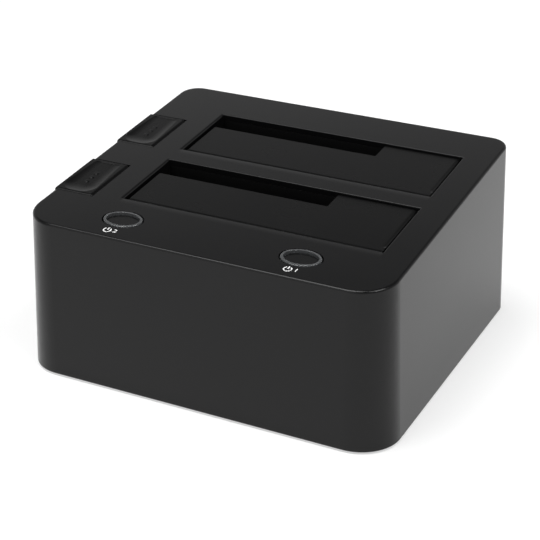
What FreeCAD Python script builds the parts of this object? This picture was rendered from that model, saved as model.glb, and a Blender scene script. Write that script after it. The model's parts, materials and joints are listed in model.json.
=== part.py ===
"""Dual bay drive duplicator: two sprung flaps over two bays, eject levers and lit power buttons.

Millimetres. The origin is the centre of the footprint on the feet's underside.
+X runs to the right along the front, +Y to the back (the ports) and +Z up.
"""
import FreeCAD, Part
import math
import os

V = FreeCAD.Vector
X_AXIS = V(1, 0, 0)
Y_AXIS = V(0, 1, 0)
Z_AXIS = V(0, 0, 1)

# Housing: a drafted block under a top that slopes up to the back
TOP_W = 143.0
TOP_D = 127.9
FOOT_W = 147.9
FOOT_D = 131.1
MID_H = 65.7
SLOPE = 4.35
TOP_R_FRONT = 13.6
TOP_R_BACK = 7.7
FOOT_R_FRONT = 15.3
FOOT_R_BACK = 8.6
TOP_EDGE_R = 1.0
WALL = 2.2
SKIN = 2.4
FOOT_H = 1.0
POST_SINK = 1.0
PAD_WALL = 2.0
PAD_INSET = 0.5

# Drive bays: one opening each, the second a pitch further back, set off from the back wall
BAY_X0 = -44.0
BAY_W = 103.5
BAY_D = 34.95
PITCH = 44.35
BACK_MARGIN = 22.75
BAY_Y0 = FOOT_D / 2 - BACK_MARGIN - BAY_D - PITCH
MOUTH_ROUNDS = (("left", 0.9), ("right", 0.35), ("back", 0.35))
MOUTH_RAMP_L = 2.8
MOUTH_RAMP_DROP = 0.08
NOTCH_W = 71.5
NOTCH_D = 10.3

# Wells that hang under the top and receive the drives
WELL_WALL = 1.8
WELL_FLOOR_TOP = 18.0
WELL_FLOOR_T = 1.8
WELL_LAP = 0.5
WELL_SCREW_OUT = 4.4
WELL_SCREW_YS = (6.0, 28.0)
WELL_BOSS_L = 6.0
WELL_BOSS_R = 2.6
WELL_LUG_HALF = 3.0
WELL_LUG_T = 2.0
SCREW_HOLE_GAP = 0.2

# Flaps on steel rods along the front edge of each opening
FLAP_T = 2.0
FLAP_DROP = 0.85
HINGE_R = 2.5
HINGE_GAP = 0.35
FLAP_GAP_LEFT = 1.6
FLAP_GAP_RIGHT = 0.5
FLAP_GAP_BACK = 0.55
FLAP_RIB = 2.0
FLAP_RIB_T = 1.6
FLAP_RIB_XS = (-22.0, 8.0)
FLAP_RIB_BACK = 0.6
FLAP_LAP = 0.5
FLAP_CORNER_R = 0.5
ROD_SEAT_GAP = 0.03
SPRING_POCKET_GAP = 0.15
SPRING_POCKET_END = 0.2
SPRING_START = 0.6
SPRING_ENDS = 1.0
SPRING_TAIL = 0.5
GROOVE_X = 0.8
GROOVE_OUT = 0.6
GROOVE_IN = 0.45
ROD_R = 0.7
ROD_BORE_GAP = 0.05
FLAP_SPRING_W = 6.5
FLAP_COIL_R = 1.5
FLAP_WIRE_R = 0.25
FLAP_TURNS = 4.75
FLAP_LEG = 10.0
WIRE_BEND = 0.6
CLOSED_TURN = 2.2
COIL_STEPS = 16

# Eject buttons on the left edge, each with a stem, a spring and a rocking lever
BUTTON_Y = -2.8
BUTTON_L = 27.0
BUTTON_W = 16.6
BUTTON_OVERHANG = 0.6
BUTTON_X0 = -TOP_W / 2 - BUTTON_OVERHANG
BUTTON_X1 = BUTTON_X0 + BUTTON_W
BUTTON_PROUD = 0.1
BUTTON_GAP = 0.35
BUTTON_CORNER_R = 1.6
BUTTON_NOSE_R = 1.4
BUTTON_RIM_R = 0.4
BUTTON_T = 2.9
BUTTON_TRAVEL = 5.3
DISH_RIM = {"left": 0.9, "right": 1.5, "front": 1.4, "back": 0.8}
DISH_RUN = {"left": 4.0, "right": 4.3, "front": 5.5, "back": 0.7}
DISH_RADII = ((5.5, 1.2), (1.5, 0.8))
DISH_STEPS = (1.25, 1.0, 0.75, 0.5, 0.25, 0.0)
DISH_DEPTH = 0.6
DISH_CLIMB = 0.9
GRIP_X = BUTTON_X0 + 8.0
GRIP_PITCH = 3.4
GRIP_R = 1.05
GRIP_BALL_R = 1.6
LIP_T = 1.2
LIP_L = 9.6
SKIRT_L = 5.5
RECESS_WALL = 2.0
BUTTON_WALL = 1.4
LIP_GAP = 0.3
RECESS_ROOM = 0.5
WELL_CUT_GAP = 0.6
STEM = 5.0
STEM_GAP = 0.15
STEM_X = BUTTON_X0 + 9.6
STEM_Y = 11.5
STEM_TIP_R = 1.0
STEM_TIP_LAP = 0.3
STEM_FOOT = 0.5
STEM_LAP = 0.6
BARB_OUT = 0.8
BARB_L = 3.0
BARB_HALF = 1.2
BARB_GAP = 0.1
SHELF_TOP = 43.0
SHELF_T = 3.0
SHELF_OUT = 3.4
SHELF_HALF = 7.0
BRACE_T = 1.8
BRACE_FOOT_Z = 30.0
PIVOT_X = -51.0
LEVER_SWING = 13.0
LEVER_INNER = 14.0
LEVER_TIP_R = 1.5
LEVER_W = 6.0
HUB_R = 3.0
HUB_Y0 = 7.9
HUB_Y1 = 31.9
HUB_GAP = 0.3
LUG_T = 2.4
LUG_HEAD_Z = 26.5
LUG_NOSE = 3.4
LUG_FOOT = 2.0
LEVER_SLOT_TOP = 27.0
LEVER_REST_GAP = 0.3
LEVER_SLOT_GAP = 0.5
LEVER_SLOT_END = 1.5
PIN_R = 1.2
PIN_GAP = 0.04
EJECT_COIL_R = 3.5
EJECT_COIL_GAP = 0.1
EJECT_COIL_ROOM = 0.3
EJECT_COIL_OUT = 0.6
EJECT_WIRE_R = 0.35
EJECT_TURNS = 7

# Power buttons with light rings in the front margin
POWER_X = 35.3
POWER_SHIFT = -0.325
POWER_Y = (BAY_Y0 - TOP_D / 2) / 2 + POWER_SHIFT
RING_A = 7.5
RING_B = 5.5
RING_W = 1.0
RING_PROUD = 0.25
RING_GAP = 0.6
RING_FLANGE = 1.2
RING_LAP = 0.8
POWER_GAP = 0.2
POWER_SINK = 0.6
POWER_RIM_R = 0.3
POWER_SKIRT = 1.6
POWER_SKIRT_X = 5.9
POWER_SKIRT_GAP = 0.1
POWER_SKIRT_LOW = 1.4
POWER_LAP = 0.6
POWER_STEM_R = 2.2
POWER_STEM_SINK = 3.0
PLUNGER_REST_GAP = 0.02
PLUNGER_SEAT = 1.8
PLUNGER_WELL = 2.8
PLUNGER_OUT = 1.2
SWITCH_DROP = 9.3
RING_LEG = (1.4, 2.4)
LED_SIZE = (2.8, 3.2)
LED_H = 1.9
LED_GAP = 0.2
RING_LEG_LAP = 0.4
RING_RIM_R = 0.3
BUTTON_BOARD_W = 100.0
BUTTON_BOARD_GAP = 3.5
BUTTON_BOARD_BACK = 8.0
BUTTON_BOARD_SCREW_X = 47.0
BUTTON_BOSS_R = 2.8
SWITCH_SIDE = 6.0
SWITCH_H = 3.4
PLUNGER_R = 1.7
PLUNGER_BORE_GAP = 0.05
HEADER_W = 13.0
CABLE_W = 10.0
CABLE_T = 0.8
CABLE_SWAY = 4.0
HEADER_D = 5.0
HEADER_H = 5.0

# Boards, from the base cover up
BASE_T = 2.4
BASE_RECESS = 0.4
BASE_GAP = 0.4
BASE_LIP_INSET = 0.5
BASE_LIP_T = 1.4
BASE_LIP_H = 3.0
BASE_LAP = 0.6
BASE_SCREW_GAP = 0.3
BASE_POST_GAP = 0.4
BOARD_POST_R = 3.0
VENTS = 9
VENT_PITCH = 8.0
VENT_W = 2.2
VENT_L = 24.0
VENT_YS = (-32.0, 8.0)
BOARD_Z = 9.0
BOARD_T = 1.6
BOARD_X = FOOT_W / 2 - 7.95
BOARD_Y0 = -FOOT_D / 2 + 6.55
POST_X = FOOT_W / 2 - 11.95
POST_Y = FOOT_D / 2 - 11.55
POST_R = 3.5
POST_ROOM = 4.75
BOARD_POST_X = POST_X - 8.0
BOARD_POST_Y = POST_Y - 9.0
FOOT_X = FOOT_W / 2 - 13.95
FOOT_Y = FOOT_D / 2 - 27.55
FOOT_PAD_R = 6.5
FOOT_SEAT = 0.8
FOOT_PAD_GAP = 0.1
FOOT_PAD_ROUND = 0.5

# Serial ATA receptacles: the contact datum sits a fixed distance in from a drive's left side
DRIVE_SIDE_GAP = 0.9
DRIVE_BACK_GAP = 0.6
DATUM_FROM_SIDE = 30.12
DATUM_FROM_BACK = 4.1
SATA_W = 42.4
SATA_D = 6.6
SATA_STAND = 6.0
SATA_SLOT_DEPTH = 8.0
SATA_GAP_X = 0.6
SATA_GAP_Y = 0.5
SATA_STEP = 5.0
SATA_NOTCH = (1.0, 1.2)
SATA_KEY = (4.6, 0.6)
SATA_SLOTS = ((-19.4, 21.0), (4.6, 10.8))
SLOT_FRONT = 0.2
SLOT_BACK = 1.9
SLOT_KEY = 1.6
CONTACT_W = 0.6
CONTACT_T = 0.35
CONTACT_LEAD = 0.8
CONTACT_SINK = 1.2
WAY_PITCH = 1.27

# Rear ports, each measured in from the back wall's outer face at the ports' height
CLONE_Z = 15.2
END_DRAFT = (FOOT_D - TOP_D) / 2 / MID_H
BACK = FOOT_D / 2 - END_DRAFT * CLONE_Z
BOARD_BACK_GAP = 3.67983
BOARD_Y1 = BACK - BOARD_BACK_GAP
PORT_CUT = 6.0
USB_X = -26.0
USB_HOLE_GAP = 0.3
USB_FACE = BACK - 0.48
USB_L = 16.2
USB_LIFT = 0.2
USB_LOW_HALF = 6.1
USB_HIGH_HALF = 4.4
USB_SHOULDER_Z = 5.4
USB_STEP_Z = 7.4
USB_TOP_Z = 10.8
USB_SHELL_T = 0.45
USB_BACK_T = 0.5
USB_CORE_GAP = 0.05
USB_CORE_BACK = 0.6
USB_CORE_D = 3.9
USB_TONGUE_LAP = 0.5
USB_TONGUE_SINK = 1.7
USB_TONGUES = ((2.9, 1.4, 4.8), (3.0, 7.6, 8.9))
JACK_X = 27.0
JACK_FACE = BACK - 0.38
JACK_L = 14.3
JACK_NOSE = 3.3
JACK_NOSE_R = 4.0
JACK_HOLE_GAP = 0.2
JACK_BORE_R = 3.15
JACK_FLOOR = 3.0
JACK_UP = 6.0
JACK_HALF = 4.6
JACK_H = 11.0
JACK_LAP = 0.5
JACK_PIN_R = 1.0
JACK_PIN_SINK = 1.4
JACK_PIN_ROUND = 0.45
CLONE_X = 2.0
CLONE_FACE = BACK - 0.08
SWITCH_FACE = BOARD_Y1 - 2.5
CLONE_R = 2.6
CLONE_GAP = 0.15
CLONE_FLANGE = 1.0
CLONE_CAP_L = 3.7
CLONE_RIM_R = 0.4
CLONE_LAP = 0.4
CLONE_HOLD = 0.8
CLONE_STEM_R = 1.5
CLONE_PLUNGER_SEAT = 2.0
CLONE_PLUNGER_OUT = 1.4
# Half width, depth, height over the button's axis, and depth of the plunger's well
CLONE_SWITCH = (3.5, 4.5, 3.2, 3.4)

# Parts on the main board: (x0, x1, y from the rear edge of the front receptacle, side, height)
CHIPS = ((20.0, 34.0, 1.0, 14.0, 1.5), (-30.0, -22.0, 5.0, 6.0, 1.3))
CAN_XS = (22.0, 31.0, 40.0)
CAN_R = 3.15
CAN_H = 9.0
CAN_ROUND = 0.4
CHOKE_XS = (-38.0, -26.0)
CHOKE_HALF = 4.0
CHOKE_H = 4.5
CHOKE_CORNER_R = 1.5

# Screws: shank radius, head radius, head height; then lengths under the head
BASE_SCREW = (1.40, 2.8, 1.5)
BOARD_SCREW = (1.15, 2.3, 1.4)
BAY_SCREW = (1.00, 2.1, 1.3)
BASE_SCREW_L = 13.0
BOARD_SCREW_L = 6.0
BAY_SCREW_L = 7.0
PILOT_GAP = 0.04
PILOT_LEAD = 1.0
BASE_PILOT = 14.0
BAY_PILOT = 5.4
BOARD_PILOT = 6.0
POST_PILOT = 0.5
SEAT_GAP = 0.1

# A screw's proportions, as shares of its head's height, shank radius and head radius
HEAD_ROUND = 0.4
POINT_R = 0.4
RECESS_FLOOR = 0.4
RECESS_ARM = 0.55
RECESS_BLADE = 0.13

# Values that follow from the dimensions above
SATA_TOP = WELL_FLOOR_TOP + SATA_STAND
BASE_Z = FOOT_H + BASE_RECESS
BASE_TOP = BASE_Z + BASE_T
BOARD_TOP = BOARD_Z + BOARD_T
JACK_Z = BOARD_TOP + JACK_UP
TILT = math.tan(math.radians(SLOPE))
COS_SLOPE = math.cos(math.radians(SLOPE))
WELL_FLOOR_Z = WELL_FLOOR_TOP - WELL_FLOOR_T
LEVER_SIN = math.sin(math.radians(LEVER_SWING))
LEVER_COS = math.cos(math.radians(LEVER_SWING))
PIVOT_Z = WELL_FLOOR_TOP - LEVER_REST_GAP - LEVER_TIP_R + LEVER_INNER * LEVER_SIN
LEVER_OUTER = (PIVOT_X - STEM_X) / LEVER_COS
SATA_X = BAY_X0 + DRIVE_SIDE_GAP + DATUM_FROM_SIDE
BAYS = {"front": BAY_Y0, "rear": BAY_Y0 + PITCH}
POWER_BUTTONS = {"1": POWER_X, "2": -POWER_X}
FAR = 120.0


# ---------------------------------------------------------------- helpers
def box(x0, x1, y0, y1, z0, z1):
    """A block between two corners."""
    return Part.makeBox(x1 - x0, y1 - y0, z1 - z0, V(x0, y0, z0))


def rod_z(x, y, z0, z1, radius):
    """An upright cylinder."""
    return Part.makeCylinder(radius, z1 - z0, V(x, y, z0), Z_AXIS)


def rod_y(x, z, y0, y1, radius):
    """A cylinder along Y."""
    return Part.makeCylinder(radius, y1 - y0, V(x, y0, z), Y_AXIS)


def rod_x(y, z, x0, x1, radius):
    """A cylinder along X."""
    return Part.makeCylinder(radius, x1 - x0, V(x0, y, z), X_AXIS)


def prism_x(points, x0, x1):
    """A (y, z) polygon drawn out along X."""
    corners = [V(x0, y, z) for y, z in points]
    corners.append(corners[0])
    return Part.Face(Part.makePolygon(corners)).extrude(V(x1 - x0, 0, 0))


def prism_y(points, y0, y1):
    """An (x, z) polygon drawn out along Y."""
    corners = [V(x, y0, z) for x, z in points]
    corners.append(corners[0])
    return Part.Face(Part.makePolygon(corners)).extrude(V(0, y1 - y0, 0))


def ellipse_z(x, y, a, b, z0, z1):
    """An upright elliptical column with its long axis along X."""
    curve = Part.Ellipse(V(x, y, z0), a, b)
    face = Part.Face(Part.Wire(curve.toShape()))
    return face.extrude(V(0, 0, z1 - z0))


def top_z(y, drop=0.0):
    """Height of the sloping top at y, less a drop."""
    return FOOT_H + MID_H + y * TILT - drop


def above_top(drop):
    """Everything above the sloping plane that lies a drop below the top."""
    points = [(-FAR, top_z(-FAR, drop)), (FAR, top_z(FAR, drop)), (FAR, 2 * FAR), (-FAR, 2 * FAR)]
    return prism_x(points, -FAR, FAR)


def fused(pieces):
    """One solid from touching or overlapping pieces."""
    shape = pieces[0]
    if len(pieces) > 1:
        shape = shape.fuse(pieces[1:])
    return shape.removeSplitter()


def outline(width, depth, r_front, r_back):
    """A rounded rectangle in the XY plane with its own radius at the front and the back."""
    hx = width / 2
    hy = depth / 2
    corners = [V(hx, -hy, 0), V(hx, hy, 0), V(-hx, hy, 0), V(-hx, -hy, 0)]
    radii = [r_front, r_back, r_back, r_front]
    headings = [X_AXIS, Y_AXIS, X_AXIS * -1, Y_AXIS * -1]
    arcs = []
    for i, (corner, r) in enumerate(zip(corners, radii)):
        arrive = headings[i]
        leave = headings[(i + 1) % 4]
        centre = corner - arrive * r + leave * r
        middle = centre + (arrive - leave) * (r * math.sqrt(0.5))
        arcs.append((corner - arrive * r, middle, corner + leave * r))
    edges = []
    for i, arc in enumerate(arcs):
        edges.append(Part.Arc(*arc).toShape())
        edges.append(Part.LineSegment(arc[2], arcs[(i + 1) % 4][0]).toShape())
    return Part.Wire(edges)


def drafted_block(inset, drop):
    """The housing's outer form, moved in by an inset and down by a drop under the slope."""
    low = outline(FOOT_W - 2 * inset, FOOT_D - 2 * inset, FOOT_R_FRONT - inset, FOOT_R_BACK - inset)
    low.translate(V(0, 0, FOOT_H))
    depth = (TOP_D - 2 * inset) / COS_SLOPE
    high = outline(TOP_W - 2 * inset, depth, TOP_R_FRONT - inset, TOP_R_BACK - inset)
    high.rotate(V(0, 0, 0), X_AXIS, SLOPE)
    high.translate(V(0, 0, top_z(0, drop)))
    return Part.makeLoft([low, high], True, True)


def on_top(shape, drop):
    """What lies above the sloping plane a drop below the top."""
    return shape.common(above_top(drop))


def under_top(shape, drop):
    """What lies below the sloping plane a drop below the top."""
    return shape.cut(above_top(drop))


def on_plane(edge, drop):
    """True for an edge that lies in the sloping plane a drop below the top."""
    b = edge.BoundBox
    return abs(b.ZMin - top_z(b.YMin, drop)) < 0.02 and abs(b.ZMax - top_z(b.YMax, drop)) < 0.02


def bay_mouth(y0):
    """An upright column over one bay's opening."""
    return box(BAY_X0, BAY_X0 + BAY_W, y0, y0 + BAY_D, 0, FAR)


def screw(x, y, z, size, length, up=True):
    """A pan head screw with a cross recess; z is the head's seat."""
    shank_r, head_r, head_h = size
    head = rod_z(x, y, z - head_h, z, head_r)
    rim = [e for e in head.Edges if abs(e.BoundBox.ZMin - (z - head_h)) < 0.01 and e.BoundBox.ZLength < 0.01]
    head = head.makeFillet(head_h * HEAD_ROUND, rim)
    shank = rod_z(x, y, z, z + length - shank_r, shank_r)
    point = Part.makeCone(shank_r, shank_r * POINT_R, shank_r, V(x, y, z + length - shank_r))
    body = fused([head, shank, point])
    arm = head_r * RECESS_ARM
    blade = head_r * RECESS_BLADE
    floor = z - head_h * RECESS_FLOOR
    body = body.cut(box(x - arm, x + arm, y - blade, y + blade, z - head_h, floor))
    body = body.cut(box(x - blade, x + blade, y - arm, y + arm, z - head_h, floor))
    if not up:
        body.rotate(V(x, y, z), X_AXIS, 180)
    return body


# ---------------------------------------------------------------- housing and base
def bay_screw_places(y0):
    """Where a well is screwed up into the top: two places on each side."""
    out = WELL_WALL + WELL_SCREW_OUT
    return [(x, y0 + dy) for x in (BAY_X0 - out, BAY_X0 + BAY_W + out) for dy in WELL_SCREW_YS]


def lug_top(y0):
    """Height of a well's screw lugs, level across the well."""
    return top_z(y0, SKIN + WELL_BOSS_L)


def housing_posts():
    """Four corner posts and the short bosses for the wells and the button board."""
    posts = []
    for x in (-POST_X, POST_X):
        for y in (-POST_Y, POST_Y):
            posts.append(rod_z(x, y, BASE_TOP, top_z(y, POST_SINK), POST_R))
    for y0 in BAYS.values():
        for x, y in bay_screw_places(y0):
            posts.append(rod_z(x, y, lug_top(y0), top_z(y, POST_SINK), WELL_BOSS_R))
    for x in (-BUTTON_BOARD_SCREW_X, BUTTON_BOARD_SCREW_X):
        posts.append(rod_z(x, POWER_Y, BUTTON_BOARD_TOP, top_z(POWER_Y, POST_SINK), BUTTON_BOSS_R))
    return posts


def pilot_holes():
    """Blind pilot holes for every screw that ends in the housing."""
    holes = []
    for x in (-POST_X, POST_X):
        for y in (-POST_Y, POST_Y):
            z0 = BASE_TOP - PILOT_LEAD
            holes.append(rod_z(x, y, z0, BASE_TOP + BASE_PILOT, BASE_SCREW[0] + PILOT_GAP))
    for y0 in BAYS.values():
        for x, y in bay_screw_places(y0):
            z0 = lug_top(y0) - PILOT_LEAD
            holes.append(rod_z(x, y, z0, lug_top(y0) + BAY_PILOT, BAY_SCREW[0] + PILOT_GAP))
    for x in (-BUTTON_BOARD_SCREW_X, BUTTON_BOARD_SCREW_X):
        z0 = BUTTON_BOARD_TOP - PILOT_LEAD
        holes.append(rod_z(x, POWER_Y, z0, BUTTON_BOARD_TOP + BOARD_PILOT, BOARD_SCREW[0] + PILOT_GAP))
    return holes


def button_column(y0, x0, gap):
    """An upright column over one eject button's place on the left edge."""
    return box(x0, BUTTON_X1 + gap, y0 + BUTTON_Y - gap, y0 + BUTTON_Y + BUTTON_L + gap, 0, FAR)


def top_ramp(y1, length, depth, x0, x1):
    """A cut that bends the top down to an edge at y1, ever more steeply towards the edge."""
    over = 0.01
    start = V(x0, y1 - length, top_z(y1 - length))
    middle = V(x0, y1 - length / 2, top_z(y1 - length / 2, depth / 4))
    end = V(x0, y1 + over, top_z(y1, depth))
    above = [end + Z_AXIS, start + Z_AXIS, start]
    edges = [Part.Arc(start, middle, end).toShape(), Part.LineSegment(end, above[0]).toShape()]
    edges += [Part.LineSegment(a, b).toShape() for a, b in zip(above, above[1:])]
    return Part.Face(Part.Wire(edges)).extrude(X_AXIS * (x1 - x0))


def mouth_edge(shape, y0, side):
    """The sharp edge of one bay's mouth that lies in the top on the named side."""
    place = {"left": BAY_X0, "right": BAY_X0 + BAY_W, "back": y0 + BAY_D}[side]
    found = []
    for edge in shape.Edges:
        middle = edge.BoundBox.Center
        beside_mouth = y0 - 0.1 < middle.y < y0 + BAY_D + 0.1 and on_plane(edge, 0)
        if side == "back":
            on_side = abs(middle.y - place) < 0.05 and edge.BoundBox.XLength > BAY_W / 2
        else:
            on_side = abs(middle.x - place) < 0.05 and edge.BoundBox.YLength > BAY_D / 2
        if beside_mouth and on_side:
            found.append(edge)
    return found


def outside_mouths(point):
    """True for a point beyond the area that holds the two mouths."""
    return abs(point.x) > BAY_X0 + BAY_W + 3 or abs(point.y) > BAY_Y0 + PITCH + BAY_D + 3


def top_housing():
    """The outer shell: drafted walls, the sloping top and everything cut through them."""
    shell = drafted_block(0, 0).cut(drafted_block(WALL, SKIN))
    for y0 in BAYS.values():
        shell = shell.cut(bay_mouth(y0))
    for side, radius in MOUTH_ROUNDS:
        for y0 in BAYS.values():
            shell = shell.makeFillet(radius, mouth_edge(shell, y0, side))
    rim = [e for e in shell.Edges if on_plane(e, 0) and outside_mouths(e.BoundBox.Center)]
    shell = shell.makeFillet(TOP_EDGE_R, rim)
    for y0 in BAYS.values():
        pad = button_column(y0, BUTTON_X0 + LIP_T, PAD_WALL)
        pad = pad.common(box(-FAR, RECESS_X + RECESS_WALL, -FAR, FAR, 0, FAR))
        pad = pad.common(drafted_block(PAD_INSET, PAD_INSET))
        shell = shell.fuse(on_top(pad, LIP_L + BUTTON_TRAVEL + PAD_WALL))
    shell = shell.fuse(housing_posts())
    for y0 in BAYS.values():
        shell = shell.cut(on_top(button_column(y0, -FAR, BUTTON_GAP), WELL_CUT_DROP))
        recess = on_top(button_column(y0, -FAR, BUTTON_GAP), LIP_L + BUTTON_TRAVEL + RECESS_ROOM)
        shell = shell.cut(recess.common(box(-FAR, RECESS_X, -FAR, FAR, 0, FAR)))
    for y0 in BAYS.values():
        shell = shell.cut(top_ramp(y0, MOUTH_RAMP_L, MOUTH_RAMP_DROP, BAY_X0, BAY_X0 + BAY_W))
    for x in POWER_BUTTONS.values():
        z = top_z(POWER_Y)
        shell = shell.cut(ellipse_z(x, POWER_Y, RING_A + RING_GAP, RING_B + RING_GAP, z - 8, z + 8))
    for hole in pilot_holes() + port_cutouts():
        shell = shell.cut(hole)
    return shell.removeSplitter()


def port_cutouts():
    """Holes through the back wall for the ports and the clone button."""
    y0 = FOOT_D / 2 - PORT_CUT
    y1 = FOOT_D / 2 + PORT_CUT
    usb = prism_y(usb_profile(USB_HOLE_GAP), y0, y1)
    jack = rod_y(JACK_X, JACK_Z, y0, y1, JACK_NOSE_R + JACK_HOLE_GAP)
    clone = rod_y(CLONE_X, CLONE_Z, y0, y1, CLONE_R + CLONE_GAP)
    return [usb, jack, clone]


def base_cover():
    """The bottom plate with its upstanding lip, board posts, foot seats and vents."""
    inset = WALL + BASE_GAP
    low = outline(FOOT_W - 2 * inset, FOOT_D - 2 * inset, FOOT_R_FRONT - inset, FOOT_R_BACK - inset)
    plate = Part.Face(low).extrude(V(0, 0, BASE_T))
    plate.translate(V(0, 0, BASE_Z))
    lip_in = inset + BASE_LIP_INSET
    walls = []
    for extra in (0, BASE_LIP_T):
        grown = lip_in + extra
        wire = outline(FOOT_W - 2 * grown, FOOT_D - 2 * grown, FOOT_R_FRONT - grown, FOOT_R_BACK - grown)
        wall = Part.Face(wire).extrude(V(0, 0, BASE_LIP_H + BASE_LAP))
        wall.translate(V(0, 0, BASE_TOP - BASE_LAP))
        walls.append(wall)
    pieces = [plate, walls[0].cut(walls[1])]
    for x, y in board_screw_places():
        pieces.append(rod_z(x, y, BASE_TOP - BASE_LAP, BOARD_Z, BOARD_POST_R))
    cover = fused(pieces)
    for x in (-POST_X, POST_X):
        for y in (-POST_Y, POST_Y):
            cover = cover.cut(rod_z(x, y, 0, BASE_TOP + 1, BASE_SCREW[0] + BASE_SCREW_GAP))
            seat = BASE_Z + BASE_SCREW[2] + SEAT_GAP
            cover = cover.cut(rod_z(x, y, 0, seat, BASE_SCREW[1] + BASE_SCREW_GAP))
            cover = cover.cut(rod_z(x, y, BASE_TOP, BASE_TOP + 6, POST_R + BASE_POST_GAP))
    for x, y in board_screw_places():
        cover = cover.cut(rod_z(x, y, BASE_TOP - POST_PILOT, BOARD_Z + 1, BOARD_SCREW[0] + PILOT_GAP))
    for x, y in foot_places():
        cover = cover.cut(rod_z(x, y, 0, BASE_Z + FOOT_SEAT, FOOT_PAD_R + FOOT_PAD_GAP))
    for i in range(VENTS):
        x = (i - (VENTS - 1) / 2) * VENT_PITCH
        for y in VENT_YS:
            cover = cover.cut(box(x - VENT_W / 2, x + VENT_W / 2, y, y + VENT_L, 0, BASE_TOP + 1))
    return cover


def foot_places():
    """Centres of the four feet."""
    return [(x, y) for x in (-FOOT_X, FOOT_X) for y in (-FOOT_Y, FOOT_Y)]


def board_screw_places():
    """Centres of the four screws that hold the main board."""
    return [(x, y) for x in (-BOARD_POST_X, BOARD_POST_X) for y in (-BOARD_POST_Y, BOARD_POST_Y)]


def rubber_feet():
    """Four round pads seated in the base cover."""
    pads = []
    for x, y in foot_places():
        pad = rod_z(x, y, 0, BASE_Z + FOOT_SEAT, FOOT_PAD_R)
        rim = [e for e in pad.Edges if e.BoundBox.ZMax < 0.01]
        pads.append(pad.makeFillet(FOOT_PAD_ROUND, rim))
    return Part.makeCompound(pads)


def base_screws():
    """Four screws up through the base cover into the corner posts."""
    seat = BASE_Z + BASE_SCREW[2] + SEAT_GAP
    places = [(x, y) for x in (-POST_X, POST_X) for y in (-POST_Y, POST_Y)]
    return Part.makeCompound([screw(x, y, seat, BASE_SCREW, BASE_SCREW_L) for x, y in places])


def board_screws():
    """Four screws down through the main board into the base cover's posts."""
    size = (BOARD_SCREW, BOARD_SCREW_L, False)
    return Part.makeCompound([screw(x, y, BOARD_TOP, *size) for x, y in board_screw_places()])


def bay_screws():
    """Screws up through the wells' lugs into the housing's bosses."""
    screws = []
    for y0 in BAYS.values():
        for x, y in bay_screw_places(y0):
            screws.append(screw(x, y, lug_top(y0) - WELL_LUG_T, BAY_SCREW, BAY_SCREW_L))
    return Part.makeCompound(screws)


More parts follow.
